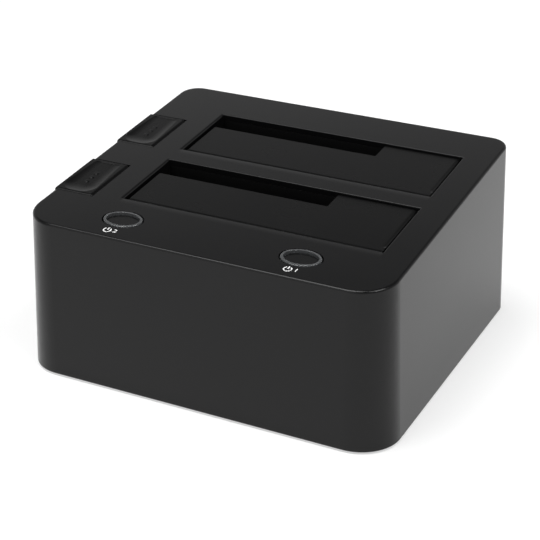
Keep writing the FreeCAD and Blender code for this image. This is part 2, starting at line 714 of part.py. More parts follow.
# ---------------------------------------------------------------- bays
def bay_well(y0):
    """The sleeve below one opening: floor, lever slot, rod seats, shelf and lever lugs."""
    x0 = BAY_X0 - WELL_WALL
    x1 = BAY_X0 + BAY_W + WELL_WALL
    y1 = y0 + BAY_D
    outer = box(x0, x1, y0 - WELL_WALL, y1 + WELL_WALL, WELL_FLOOR_Z, FAR)
    inner = bay_mouth(y0).common(box(-FAR, FAR, -FAR, FAR, WELL_FLOOR_TOP, FAR))
    pieces = [outer.cut(inner)]
    z_lug = lug_top(y0)
    for x, y in bay_screw_places(y0):
        half = WELL_LUG_HALF
        reach = [x - half, x0 + WELL_LAP] if x < 0 else [x1 - WELL_LAP, x + half]
        pieces.append(box(reach[0], reach[1], y - half, y + half, z_lug - WELL_LUG_T, z_lug))
    y_stem = y0 + STEM_Y
    shelf_x0 = STEM_X - STEM / 2 - SHELF_OUT
    ya = y_stem - SHELF_HALF
    yb = y_stem + SHELF_HALF
    x_in = x0 + WELL_LAP
    under = SHELF_TOP - SHELF_T
    pieces.append(box(shelf_x0, x_in, ya, yb, under, SHELF_TOP))
    for y in (ya, yb - BRACE_T):
        brace = [(x_in, under), (x_in, BRACE_FOOT_Z), (x0, BRACE_FOOT_Z), (shelf_x0, under)]
        pieces.append(prism_y(brace, y, y + BRACE_T))
    for y in (y0 + HUB_Y0 - HUB_GAP - LUG_T, y0 + HUB_Y1 + HUB_GAP):
        lug = [(x_in, WELL_FLOOR_Z), (x_in, LUG_HEAD_Z), (PIVOT_X, PIVOT_Z + LUG_NOSE),
               (PIVOT_X - LUG_NOSE, PIVOT_Z), (PIVOT_X - LUG_FOOT, WELL_FLOOR_Z)]
        pieces.append(prism_y(lug, y, y + LUG_T))
    well = under_top(fused(pieces), SKIN)
    for x, y in bay_screw_places(y0):
        well = well.cut(rod_z(x, y, z_lug - 5, z_lug + 1, BAY_SCREW[0] + SCREW_HOLE_GAP))
    opening = STEM / 2 + STEM_GAP
    well = well.cut(box(STEM_X - opening, STEM_X + opening, y_stem - opening, y_stem + opening,
                        under - 1, SHELF_TOP + 1))
    well = well.cut(rod_y(PIVOT_X, PIVOT_Z, y0, y1 + WELL_WALL + 1, PIN_R + PIN_GAP))
    tip_y = y0 + HUB_Y1 - LEVER_W
    tip_x = PIVOT_X + LEVER_INNER * LEVER_COS + LEVER_TIP_R + LEVER_SLOT_END
    well = well.cut(box(x0 - 1, tip_x, tip_y - LEVER_SLOT_GAP, tip_y + LEVER_W + HUB_GAP,
                        WELL_FLOOR_Z - 1, LEVER_SLOT_TOP))
    half = SATA_W / 2 + SATA_GAP_X
    half_d = SATA_D / 2 + SATA_GAP_Y
    y_sata = sata_y(y0)
    well = well.cut(box(SATA_X - half, SATA_X + half, y_sata - half_d, y_sata + half_d,
                        0, WELL_FLOOR_TOP + 1))
    y_rod, z_rod = hinge_at(y0)
    seat = ROD_R + ROD_SEAT_GAP
    well = well.cut(rod_x(y_rod, z_rod, x0 - 1, x1 + 1, seat))
    well = well.cut(box(x0 - 1, x1 + 1, y_rod - seat, y_rod + seat, z_rod, FAR))
    groove = rod_x(y_rod, z_rod, x1 - WELL_WALL - 1, x1 - GROOVE_X, FLAP_COIL_R + GROOVE_OUT)
    core = rod_x(y_rod, z_rod, x1 - WELL_WALL - 2, x1, FLAP_COIL_R - GROOVE_IN)
    well = well.cut(groove.cut(core))
    return well


def hinge_at(y0):
    """(y, z) of a flap's axis, under the front edge of its opening."""
    y = y0 + HINGE_GAP + HINGE_R
    return y, top_z(y, (FLAP_DROP + HINGE_R) / COS_SLOPE)


def along_slope(shape, y0):
    """Turns a shape drawn level about its hinge axis to the top's slope and puts it there."""
    y, z = hinge_at(y0)
    shape.rotate(V(0, 0, 0), X_AXIS, SLOPE)
    shape.translate(V(0, y, z))
    return shape


def flap(y0):
    """An L-shaped panel, level about its axis here, with a barrel, ribs and a spring pocket."""
    x0 = BAY_X0 + FLAP_GAP_LEFT
    x1 = BAY_X0 + BAY_W - FLAP_GAP_RIGHT
    top = HINGE_R
    low = HINGE_R - FLAP_T
    lean = HINGE_R * TILT
    back = (BAY_D - FLAP_GAP_BACK - HINGE_GAP - HINGE_R) / COS_SLOPE + lean
    notch_y = (BAY_D - NOTCH_D - HINGE_GAP - HINGE_R) / COS_SLOPE + lean
    notch_x = BAY_X0 + NOTCH_W
    rib = low - FLAP_RIB
    seam = low + FLAP_LAP
    pieces = [rod_x(0, 0, x0, x1, HINGE_R), box(x0, x1, 0, back, low, top)]
    pieces.append(box(x0, notch_x, notch_y - FLAP_RIB_T, notch_y, rib, seam))
    rib_end = back - FLAP_RIB_BACK
    pieces.append(box(notch_x, notch_x + FLAP_RIB_T, notch_y - FLAP_RIB_T, rib_end, rib, seam))
    for x in (x0, x1 - FLAP_RIB_T) + FLAP_RIB_XS:
        end = rib_end if x > notch_x else notch_y
        pieces.append(box(x, x + FLAP_RIB_T, 0, end, rib, seam))
    panel = fused(pieces)
    panel = panel.cut(box(x0 - 1, notch_x, notch_y, back + 1, rib - 1, top + 1))
    panel = panel.cut(rod_x(0, 0, x0 - 1, x1 + 1, ROD_R + ROD_BORE_GAP))
    pocket = FLAP_COIL_R + FLAP_WIRE_R + SPRING_POCKET_GAP
    x_pocket = x1 - FLAP_SPRING_W
    panel = panel.cut(rod_x(0, 0, x_pocket, x1 + 1, pocket))
    panel = panel.cut(box(x_pocket, x1 + 1, -pocket - 1, HINGE_R + SPRING_POCKET_END, -FAR, low))
    upright = [e for e in panel.Edges if abs(e.tangentAt(e.FirstParameter).z) > 0.99]
    corner = [e for e in upright if e.BoundBox.ZMax > top - 0.01]
    sharp = [e for e in corner if e.BoundBox.YMin > notch_y - 0.1]
    panel = panel.makeFillet(FLAP_CORNER_R, sharp)
    return along_slope(panel, y0)


def flap_rod(y0):
    """The steel rod that a flap turns on, seated in the well's side walls."""
    y, z = hinge_at(y0)
    return rod_x(y, z, BAY_X0 - WELL_WALL, BAY_X0 + BAY_W + WELL_WALL, ROD_R)


def flap_spring(y0):
    """A torsion spring round the rod: a leg under the panel and a tang in the well's groove."""
    x1 = BAY_X0 + BAY_W - FLAP_GAP_RIGHT
    start = x1 - FLAP_SPRING_W + SPRING_START
    pitch = (FLAP_SPRING_W - SPRING_ENDS) / FLAP_TURNS
    reach = math.sqrt((FLAP_COIL_R + WIRE_BEND) ** 2 - WIRE_BEND ** 2)
    join = math.asin(WIRE_BEND / (FLAP_COIL_R + WIRE_BEND))
    path = [V(start, u, 0) for u in (FLAP_LEG, 0.7 * FLAP_LEG, 0.45 * FLAP_LEG, reach)]
    for i in range(1, 4):
        bend = -math.pi / 2 - (math.pi / 2 - join) * i / 4
        path.append(V(start, reach + WIRE_BEND * math.cos(bend), WIRE_BEND + WIRE_BEND * math.sin(bend)))
    steps = int(FLAP_TURNS * COIL_STEPS)
    for i in range(steps + 1):
        turn = join + 2 * math.pi * i / COIL_STEPS
        x = start + pitch * i / COIL_STEPS
        path.append(V(x, FLAP_COIL_R * math.cos(turn), FLAP_COIL_R * math.sin(turn)))
    tip = path[-1]
    end = join + 2 * math.pi * FLAP_TURNS
    ahead = V(0, -math.sin(end), math.cos(end))
    for i in range(1, 5):
        bend = math.pi / 2 * i / 4
        path.append(tip + ahead * (WIRE_BEND * math.sin(bend)) + V(WIRE_BEND * (1 - math.cos(bend)), 0, 0))
    path.append(path[-1] + V(SPRING_TAIL, 0, 0))
    path.append(path[-1] + V(SPRING_TAIL, 0, 0))
    return along_slope(bent_wire(path, FLAP_WIRE_R), y0)


def bent_wire(path, wire_r):
    """A round wire swept along a smooth curve through the path's points."""
    curve = Part.BSplineCurve()
    curve.interpolate(path)
    spine = curve.toShape()
    section = Part.Wire(Part.makeCircle(wire_r, path[0], spine.tangentAt(spine.FirstParameter)))
    return Part.Wire(spine).makePipeShell([section], True, False)


def coil_path(radius, rise, turns, wire_r):
    """Points of a coil that rises along Z from z = 0, with its end turns closed up."""
    closed = CLOSED_TURN * wire_r
    path = []
    for i in range(turns * COIL_STEPS + 1):
        turn = i / COIL_STEPS
        middle = min(max(turn - 1, 0), turns - 2)
        z = closed * (turn - middle) + (rise - 2 * closed) * middle / (turns - 2)
        path.append(V(radius * math.cos(2 * math.pi * turn), radius * math.sin(2 * math.pi * turn), z))
    return path


# ---------------------------------------------------------------- eject mechanism
def eject_button(y0):
    """A scooped cap with a lip over the left edge, and a barbed stem through the shelf."""
    ya = y0 + BUTTON_Y
    yb = ya + BUTTON_L
    cap = box(BUTTON_X0, BUTTON_X1, ya, yb, 0, FAR)
    corner = [e for e in cap.Edges if e.BoundBox.ZLength > 50 and e.BoundBox.XMin > BUTTON_X1 - 0.1]
    cap = cap.makeFillet(BUTTON_CORNER_R, [e for e in corner if e.BoundBox.YMax < ya + 0.1])
    cap = under_top(on_top(cap, LIP_L), -BUTTON_PROUD)
    nose = [e for e in cap.Edges if on_plane(e, -BUTTON_PROUD) and e.BoundBox.YMax < ya + 0.1]
    cap = cap.makeFillet(BUTTON_NOSE_R, nose)
    rim = [e for e in cap.Edges if on_plane(e, -BUTTON_PROUD) and e.BoundBox.XMax < BUTTON_X1 - 1.0]
    rim = [e for e in rim if e.BoundBox.YMin > yb - 0.5 or e.BoundBox.XMax < BUTTON_X0 + 0.1]
    cap = cap.makeFillet(BUTTON_RIM_R, rim)
    cap = cap.cut(thumb_dish(y0))
    wall = BUTTON_WALL
    hollow = box(BUTTON_X0 + LIP_T, BUTTON_X1 - wall, ya + wall, yb - wall, 0, FAR)
    cap = cap.cut(under_top(hollow, BUTTON_T))
    cap = cap.cut(under_top(box(BUTTON_X0 + LIP_T, BUTTON_X1 + 1, ya - 1, yb + 1, 0, FAR), SKIRT_L))
    behind_lip = box(BUTTON_X0 + LIP_T, RECESS_X + RECESS_WALL + RECESS_ROOM, ya - 1, yb + 1, 0, FAR)
    cap = cap.cut(under_top(behind_lip, BUTTON_T))
    y_stem = y0 + STEM_Y
    half = STEM / 2
    ya = y_stem - half
    yb = y_stem + half
    tip = STEM_TIP_R
    z_tip = PIVOT_Z + LEVER_OUTER * LEVER_SIN + LEVER_TIP_R + BARB_GAP + tip
    stem = box(STEM_X - half, STEM_X + half, ya, yb, z_tip + STEM_TIP_LAP, FAR)
    stem = under_top(stem, BUTTON_T - STEM_LAP)
    foot = fused([rod_y(STEM_X, z_tip, ya, yb, tip),
                  box(STEM_X - tip, STEM_X + tip, ya, yb, z_tip, z_tip + STEM_FOOT)])
    z1 = SHELF_TOP - SHELF_T - BARB_GAP
    z0 = z1 - BARB_L
    barb = [(ya - BARB_OUT, z1), (yb + BARB_OUT, z1), (yb, z0), (ya, z0)]
    barb = prism_x(barb, STEM_X - BARB_HALF, STEM_X + BARB_HALF)
    return fused([cap, stem, foot, barb] + grip_marks(y0))


def slope_frame(shape, x, y, drop):
    """Tilts a shape drawn level about the origin and puts it at a point of the sloping top."""
    shape.rotate(V(0, 0, 0), X_AXIS, SLOPE)
    shape.translate(V(x, y, top_z(y, drop)))
    return shape


def dish_outline(rise):
    """The dish's outline about the cap's centre: rise 0 is its floor's edge and 1 its rim."""
    share = 1 - rise
    x0 = DISH_RIM["left"] + share * DISH_RUN["left"] - BUTTON_W / 2
    x1 = BUTTON_W / 2 - DISH_RIM["right"] - share * DISH_RUN["right"]
    y0 = DISH_RIM["front"] + share * DISH_RUN["front"] - BUTTON_L / 2
    y1 = BUTTON_L / 2 - DISH_RIM["back"] - share * DISH_RUN["back"]
    radii = [rise * rim + share * floor for rim, floor in zip(*DISH_RADII)]
    wire = outline(x1 - x0, y1 - y0, *radii)
    wire.translate(V((x0 + x1) / 2, (y0 + y1) / 2, DISH_DEPTH * (rise * rise - 1)))
    return wire


def thumb_dish(y0):
    """The thumb dish: a bowl whose walls curve up from a floor that climbs to the back."""
    tool = Part.makeLoft([dish_outline(rise) for rise in DISH_STEPS], True, False)
    tool.rotate(V(0, DISH_RIM["front"] - BUTTON_L / 2, 0), X_AXIS, DISH_CLIMB)
    return slope_frame(tool, BUTTON_X0 + BUTTON_W / 2, y0 + BUTTON_Y + BUTTON_L / 2, -BUTTON_PROUD)


def grip_marks(y0):
    """Three small domed studs in a row on the dish's floor."""
    rise = GRIP_BALL_R - math.sqrt(GRIP_BALL_R ** 2 - GRIP_R ** 2)
    studs = []
    for place in (-1, 0, 1):
        stud = Part.makeSphere(GRIP_BALL_R, V(0, 0, rise - GRIP_BALL_R))
        stud = stud.common(Part.makeCylinder(GRIP_R, 1.0 + rise, V(0, 0, -1.0), Z_AXIS))
        y = y0 + BUTTON_Y + BUTTON_L / 2 + place * GRIP_PITCH
        climb = math.tan(math.radians(DISH_CLIMB)) * (BUTTON_L / 2 + place * GRIP_PITCH)
        studs.append(slope_frame(stud, GRIP_X, y, DISH_DEPTH - climb - BUTTON_PROUD))
    return studs


def eject_lever(y0):
    """A rocker on a hub along Y: the outer arm under the stem, the inner arm under the drive."""
    hub = rod_y(PIVOT_X, PIVOT_Z, y0 + HUB_Y0, y0 + HUB_Y1, HUB_R)
    y_out = y0 + STEM_Y - LEVER_W / 2
    y_in = y0 + HUB_Y1 - LEVER_W
    pieces = [hub]
    for length, y in ((-LEVER_OUTER, y_out), (LEVER_INNER, y_in)):
        low, high = sorted((0.0, length))
        z0, z1 = PIVOT_Z - LEVER_TIP_R, PIVOT_Z + LEVER_TIP_R
        arm = box(PIVOT_X + low, PIVOT_X + high, y, y + LEVER_W, z0, z1)
        tip = rod_y(PIVOT_X + length, PIVOT_Z, y, y + LEVER_W, LEVER_TIP_R)
        for piece in (arm, tip):
            piece.rotate(V(PIVOT_X, 0, PIVOT_Z), Y_AXIS, LEVER_SWING)
            pieces.append(piece)
    return fused(pieces).cut(rod_y(PIVOT_X, PIVOT_Z, y0, y0 + FAR, PIN_R + PIN_GAP))


def eject_pin(y0):
    """The pin through both lugs that the lever rocks on."""
    over = HUB_GAP + LUG_T
    return rod_y(PIVOT_X, PIVOT_Z, y0 + HUB_Y0 - over, y0 + HUB_Y1 + over, PIN_R)


def eject_spring(y0):
    """A compression spring round the stem, between the shelf and the cap."""
    y = y0 + STEM_Y
    room = top_z(y - EJECT_COIL_R, BUTTON_T) - SHELF_TOP - 2 * EJECT_WIRE_R - EJECT_COIL_ROOM
    path = coil_path(EJECT_COIL_R + EJECT_COIL_OUT, room, EJECT_TURNS, EJECT_WIRE_R)
    coil = bent_wire(path, EJECT_WIRE_R)
    coil.translate(V(STEM_X, y, SHELF_TOP + EJECT_WIRE_R + EJECT_COIL_GAP))
    return coil


# ---------------------------------------------------------------- power buttons
def light_ring(x):
    """A translucent elliptical tube with a flange under the top."""
    z = top_z(POWER_Y)
    tube = ellipse_z(x, POWER_Y, RING_A, RING_B, 0, FAR)
    tube = under_top(on_top(tube, SKIN), -RING_PROUD)
    rim = [e for e in tube.Edges if on_plane(e, -RING_PROUD)]
    tube = tube.makeFillet(RING_RIM_R, rim)
    edge = RING_GAP + RING_LAP
    flange = ellipse_z(x, POWER_Y, RING_A + edge, RING_B + edge, 0, FAR)
    flange = under_top(on_top(flange, SKIN + RING_FLANGE), SKIN)
    legs = []
    for side in (-1, 1):
        leg_x = x + side * (RING_A - RING_W / 2)
        half_x, half_y = RING_LEG[0] / 2, RING_LEG[1] / 2
        leg = box(leg_x - half_x, leg_x + half_x, POWER_Y - half_y, POWER_Y + half_y, LED_TOP + LED_GAP, z)
        legs.append(under_top(leg, SKIN + RING_LEG_LAP))
    ring = fused([tube, flange] + legs)
    a = RING_A - RING_W
    b = RING_B - RING_W
    return ring.cut(ellipse_z(x, POWER_Y, a, b, BUTTON_BOARD_TOP, FAR))


def power_button(x):
    """A sunk elliptical cap with a stem that meets the switch plunger."""
    z = top_z(POWER_Y)
    a = RING_A - RING_W - POWER_GAP
    b = RING_B - RING_W - POWER_GAP
    flange = SKIN + RING_FLANGE
    cap = ellipse_z(x, POWER_Y, a, b, 0, FAR)
    cap = under_top(on_top(cap, flange + POWER_LAP), POWER_SINK)
    rim = [e for e in cap.Edges if on_plane(e, POWER_SINK)]
    cap = cap.makeFillet(POWER_RIM_R, rim)
    skirt = ellipse_z(x, POWER_Y, a + POWER_SKIRT, b + POWER_SKIRT, 0, FAR)
    skirt = under_top(on_top(skirt, flange + POWER_SKIRT_LOW), flange + POWER_SKIRT_GAP)
    skirt = skirt.common(box(x - POWER_SKIRT_X, x + POWER_SKIRT_X, -FAR, FAR, 0, FAR))
    z0 = PLUNGER_TOP + PLUNGER_REST_GAP
    stem = rod_z(x, POWER_Y, z0, z - POWER_STEM_SINK, POWER_STEM_R)
    return fused([cap, skirt, stem])


def switch_plunger(x):
    """The moving stem of a power button's key switch."""
    return rod_z(x, POWER_Y, SWITCH_TOP - PLUNGER_SEAT, PLUNGER_TOP, PLUNGER_R)


def tact_switches():
    """Bodies of the two key switches on the button board."""
    half = SWITCH_SIDE / 2
    bodies = []
    for x in POWER_BUTTONS.values():
        y0 = POWER_Y - half
        body = box(x - half, x + half, y0, y0 + SWITCH_SIDE, BUTTON_BOARD_TOP, SWITCH_TOP)
        z0 = SWITCH_TOP - PLUNGER_WELL
        bodies.append(body.cut(rod_z(x, POWER_Y, z0, SWITCH_TOP + 1, PLUNGER_R + PLUNGER_BORE_GAP)))
    return Part.makeCompound(bodies)


def status_leds():
    """One lamp under each leg of the two light rings."""
    half_x, half_y = LED_SIZE[0] / 2, LED_SIZE[1] / 2
    lamps = []
    for x in POWER_BUTTONS.values():
        for side in (-1, 1):
            cx = x + side * (RING_A - RING_W / 2)
            lamps.append(box(cx - half_x, cx + half_x, POWER_Y - half_y, POWER_Y + half_y,
                             BUTTON_BOARD_TOP, LED_TOP))
    return Part.makeCompound(lamps)


def button_board():
    """The small board under the power buttons, screwed to two of the housing's bosses."""
    y0 = WALL + BUTTON_BOARD_GAP - FOOT_D / 2 + END_DRAFT * BUTTON_BOARD_TOP
    half = BUTTON_BOARD_W / 2
    y1 = POWER_Y + BUTTON_BOARD_BACK
    board = box(-half, half, y0, y1, BUTTON_BOARD_TOP - BOARD_T, BUTTON_BOARD_TOP)
    for x in (-BUTTON_BOARD_SCREW_X, BUTTON_BOARD_SCREW_X):
        board = board.cut(rod_z(x, POWER_Y, 0, FAR, BOARD_SCREW[0] + SCREW_HOLE_GAP))
    return board


def button_board_screws():
    """Two screws up through the button board into the housing's bosses."""
    seat = BUTTON_BOARD_TOP - BOARD_T
    xs = (-BUTTON_BOARD_SCREW_X, BUTTON_BOARD_SCREW_X)
    return Part.makeCompound([screw(x, POWER_Y, seat, BOARD_SCREW, BOARD_SCREW_L) for x in xs])


# ---------------------------------------------------------------- main board
def main_board():
    """The board on the base posts, its corners cut away round the housing posts."""
    board = box(-BOARD_X, BOARD_X, BOARD_Y0, BOARD_Y1, BOARD_Z, BOARD_TOP)
    for sx in (-1, 1):
        for sy in (-1, 1):
            x0, x1 = sorted((sx * (POST_X - POST_ROOM), sx * FAR))
            y0, y1 = sorted((sy * (POST_Y - POST_ROOM), sy * FAR))
            board = board.cut(box(x0, x1, y0, y1, 0, FAR))
    for x, y in board_screw_places():
        board = board.cut(rod_z(x, y, 0, FAR, BOARD_SCREW[0] + SCREW_HOLE_GAP))
    return board


def sata_y(y0):
    """A receptacle's centre line, set by a drive whose board side rests at the back."""
    return y0 + BAY_D - DRIVE_BACK_GAP - DATUM_FROM_BACK


def sata_connector(y0):
    """An upright 22 way receptacle with L-keyed slots and a guide post at each end."""
    y = sata_y(y0)
    half = SATA_W / 2
    body = box(SATA_X - half, SATA_X + half, y - SATA_D / 2, y + SATA_D / 2, BOARD_TOP, SATA_TOP)
    z_step = SATA_TOP - SATA_STEP
    corners = [(-half, SATA_NOTCH[0] - half, -SATA_NOTCH[1]), (half - SATA_KEY[0], half, -SATA_KEY[1])]
    for xa, xb, y1 in corners:
        body = body.cut(box(SATA_X + xa, SATA_X + xb, y - SATA_D, y + y1, z_step, SATA_TOP))
    z0 = SATA_TOP - SATA_SLOT_DEPTH
    for dx, length in SATA_SLOTS:
        x = SATA_X + dx
        body = body.cut(box(x, x + length, y - SLOT_FRONT, y + SLOT_BACK, z0, SATA_TOP + 1))
        body = body.cut(box(x + length - SLOT_KEY, x + length, y - SLOT_KEY, y, z0, SATA_TOP + 1))
    return body


def sata_contacts(y0):
    """Contact springs in both slots, one strip for each way."""
    y = sata_y(y0) + SLOT_BACK
    z0 = SATA_TOP - SATA_SLOT_DEPTH
    strips = []
    for dx, length in SATA_SLOTS:
        for i in range(round((length - SLOT_KEY - CONTACT_T) / WAY_PITCH)):
            x = SATA_X + dx + CONTACT_LEAD + WAY_PITCH * i
            strips.append(box(x, x + CONTACT_W, y - CONTACT_T, y, z0, SATA_TOP - CONTACT_SINK))
    return Part.makeCompound(strips)


def usb_profile(grow):
    """The stepped outline of the computer port in the XZ plane."""
    z = BOARD_TOP + USB_LIFT
    low = USB_LOW_HALF + grow
    high = USB_HIGH_HALF + grow
    shoulder = z + USB_SHOULDER_Z
    step = z + USB_STEP_Z + grow
    top = z + USB_TOP_Z + grow
    return [(USB_X - low, z - grow), (USB_X + low, z - grow), (USB_X + low, shoulder),
            (USB_X + high, step), (USB_X + high, top),
            (USB_X - high, top), (USB_X - high, step), (USB_X - low, shoulder)]


def usb_port_shell():
    """A formed steel shell, open at the back of the housing."""
    shell = prism_y(usb_profile(0), USB_FACE - USB_L, USB_FACE)
    return shell.cut(prism_y(usb_profile(-USB_SHELL_T), USB_FACE - USB_L + USB_BACK_T, BACK + 1))


def usb_port_core():
    """The plastic core: a rear wall and two tongues."""
    z = BOARD_TOP + USB_LIFT + USB_SHELL_T
    y0 = USB_FACE - USB_L + USB_CORE_BACK
    y1 = y0 + USB_CORE_D
    y_tip = USB_FACE - USB_TONGUE_SINK
    pieces = [prism_y(usb_profile(-USB_SHELL_T - USB_CORE_GAP), y0, y1)]
    for half, low, high in USB_TONGUES:
        pieces.append(box(USB_X - half, USB_X + half, y1 - USB_TONGUE_LAP, y_tip, z + low, z + high))
    return fused(pieces)


def dc_jack():
    """The power inlet's block with a round nose in the back wall."""
    y0 = JACK_FACE - JACK_L
    y1 = JACK_FACE - JACK_NOSE
    block = box(JACK_X - JACK_HALF, JACK_X + JACK_HALF, y0, y1, BOARD_TOP, BOARD_TOP + JACK_H)
    nose = rod_y(JACK_X, JACK_Z, y1 - JACK_LAP, JACK_FACE, JACK_NOSE_R)
    return fused([block, nose]).cut(rod_y(JACK_X, JACK_Z, y0 + JACK_FLOOR, BACK + 1, JACK_BORE_R))


def dc_jack_pin():
    """The inlet's centre pin, with a rounded tip."""
    y_tip = JACK_FACE - JACK_PIN_SINK
    pin = rod_y(JACK_X, JACK_Z, JACK_FACE - JACK_L + JACK_FLOOR, y_tip, JACK_PIN_R)
    tip = [e for e in pin.Edges if e.BoundBox.YMin > y_tip - 0.1]
    return pin.makeFillet(JACK_PIN_ROUND, tip)


def clone_switch():
    """An upright key switch body at the board's back edge."""
    half, depth, rise, well = CLONE_SWITCH
    body = box(CLONE_X - half, CLONE_X + half, SWITCH_FACE - depth, SWITCH_FACE, BOARD_TOP, CLONE_Z + rise)
    y0 = SWITCH_FACE - well
    return body.cut(rod_y(CLONE_X, CLONE_Z, y0, SWITCH_FACE + 1, PLUNGER_R + PLUNGER_BORE_GAP))


def clone_plunger():
    """The moving stem of the start button's key switch."""
    y0 = SWITCH_FACE - CLONE_PLUNGER_SEAT
    return rod_y(CLONE_X, CLONE_Z, y0, SWITCH_FACE + CLONE_PLUNGER_OUT, PLUNGER_R)


def clone_button():
    """The round start button in the back wall, held by a flange inside it."""
    y0 = CLONE_FACE - CLONE_CAP_L
    face = rod_y(CLONE_X, CLONE_Z, y0, CLONE_FACE, CLONE_R)
    rim = [e for e in face.Edges if e.BoundBox.YMin > CLONE_FACE - 0.1]
    face = face.makeFillet(CLONE_RIM_R, rim)
    flange = rod_y(CLONE_X, CLONE_Z, y0 - CLONE_LAP, y0 + CLONE_HOLD, CLONE_R + CLONE_FLANGE)
    y_rest = SWITCH_FACE + CLONE_PLUNGER_OUT + PLUNGER_REST_GAP
    stem = rod_y(CLONE_X, CLONE_Z, y_rest, y0 - CLONE_LAP / 2, CLONE_STEM_R)
    return fused([face, flange, stem])


def bridge_chips():
    """The bridge and the chip that steers the copying, behind the front receptacle."""
    edge = sata_y(BAY_Y0) + SATA_D / 2
    chips = [box(x0, x1, edge + y, edge + y + side, BOARD_TOP, BOARD_TOP + height)
             for x0, x1, y, side, height in CHIPS]
    return Part.makeCompound(chips)


def capacitors():
    """Upright electrolytic cans in the clear strip in front of the wells."""
    cans = []
    z1 = BOARD_TOP + CAN_H
    for x in CAN_XS:
        can = rod_z(x, POWER_Y, BOARD_TOP, z1, CAN_R)
        cans.append(can.makeFillet(CAN_ROUND, [e for e in can.Edges if e.BoundBox.ZMin > z1 - 0.1]))
    return Part.makeCompound(cans)


def inductors():
    """Square power chokes beside the cans."""
    blocks = []
    half = CHOKE_HALF
    for x in CHOKE_XS:
        block = box(x - half, x + half, POWER_Y - half, POWER_Y + half, BOARD_TOP, BOARD_TOP + CHOKE_H)
        upright = [e for e in block.Edges if e.BoundBox.ZLength > CHOKE_H / 2]
        blocks.append(block.makeFillet(CHOKE_CORNER_R, upright))
    return Part.makeCompound(blocks)


def cable_headers():
    """The two headers that the button cable plugs into."""
    y0 = POWER_Y - HEADER_D / 2
    y1 = POWER_Y + HEADER_D / 2
    half = HEADER_W / 2
    low = box(-half, half, y0, y1, BOARD_TOP, BOARD_TOP + HEADER_H)
    high_z = BUTTON_BOARD_TOP - BOARD_T
    high = box(-half, half, y0, y1, high_z - HEADER_H, high_z)
    return Part.makeCompound([low, high])


def button_cable():
    """A flat cable in a slack S between the two headers."""
    z0 = BOARD_TOP + HEADER_H
    z1 = BUTTON_BOARD_TOP - BOARD_T - HEADER_H
    span = z1 - z0
    front = []
    back = []
    for i in range(17):
        t = i / 16
        y = POWER_Y + CABLE_SWAY * math.sin(2 * math.pi * t) * math.sin(math.pi * t)
        front.append((y - CABLE_T / 2, z0 + span * t))
        back.append((y + CABLE_T / 2, z0 + span * t))
    return prism_x(front + back[::-1], -CABLE_W / 2, CABLE_W / 2)


# Heights that hang from the top
SWITCH_TOP = top_z(POWER_Y) - SWITCH_DROP
PLUNGER_TOP = SWITCH_TOP + PLUNGER_OUT
BUTTON_BOARD_TOP = SWITCH_TOP - SWITCH_H
LED_TOP = BUTTON_BOARD_TOP + LED_H
RECESS_X = BUTTON_X0 + LIP_T + LIP_GAP
WELL_CUT_DROP = BUTTON_T + BUTTON_TRAVEL + WELL_CUT_GAP

NODES = {
    "top_housing": top_housing,
    "base_cover": base_cover,
    "rubber_feet": rubber_feet,
    "base_screws": base_screws,
    "board_screws": board_screws,
    "bay_screws": bay_screws,
    "main_board": main_board,
    "button_board": button_board,
    "button_board_screws": button_board_screws,
    "tact_switches": tact_switches,
    "status_leds": status_leds,
    "usb_port_shell": usb_port_shell,
    "usb_port_core": usb_port_core,
    "dc_jack": dc_jack,
    "dc_jack_pin": dc_jack_pin,
    "clone_switch": clone_switch,
    "clone_plunger": clone_plunger,
    "clone_button": clone_button,
    "bridge_chips": bridge_chips,
    "capacitors": capacitors,
    "inductors": inductors,
    "cable_headers": cable_headers,
    "button_cable": button_cable,
}
PER_BAY = {
    "bay_well": bay_well,
    "flap": flap,
    "flap_rod": flap_rod,
    "flap_spring": flap_spring,
    "eject_button": eject_button,
    "eject_lever": eject_lever,
    "eject_pin": eject_pin,
    "eject_spring": eject_spring,
    "sata_connector": sata_connector,
    "sata_contacts": sata_contacts,
}
PER_POWER_BUTTON = {
    "light_ring": light_ring,
    "power_button": power_button,
    "switch_plunger": switch_plunger,
}


def save(name, shape):
    """Writes one node and says how it came out."""
    shape.exportStep("parts/" + name + ".step")
    print(name, "solids", len(shape.Solids), "valid", shape.isValid(), "volume", round(shape.Volume))


os.makedirs("parts", exist_ok=True)
for name, build in NODES.items():
    save(name, build())
for side, y0 in BAYS.items():
    for name, build in PER_BAY.items():
        save(side + "_" + name, build(y0))
for number, x in POWER_BUTTONS.items():
    for name, build in PER_POWER_BUTTON.items():
        save(name + "_" + number, build(x))
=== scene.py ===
# %% [markdown]
# # A two bay drive duplicator
# The object is a squat black plastic block. Two long openings in its sloping top take bare hard
# drives, each shut by a sprung flap with an eject button at its left. Two oval power buttons sit
# in clear rings near the front edge. The CAD model already holds every solid at its real size,
# so this script gives the solids their finish, adds the print and the smallest fittings, and
# sets up a plain studio.

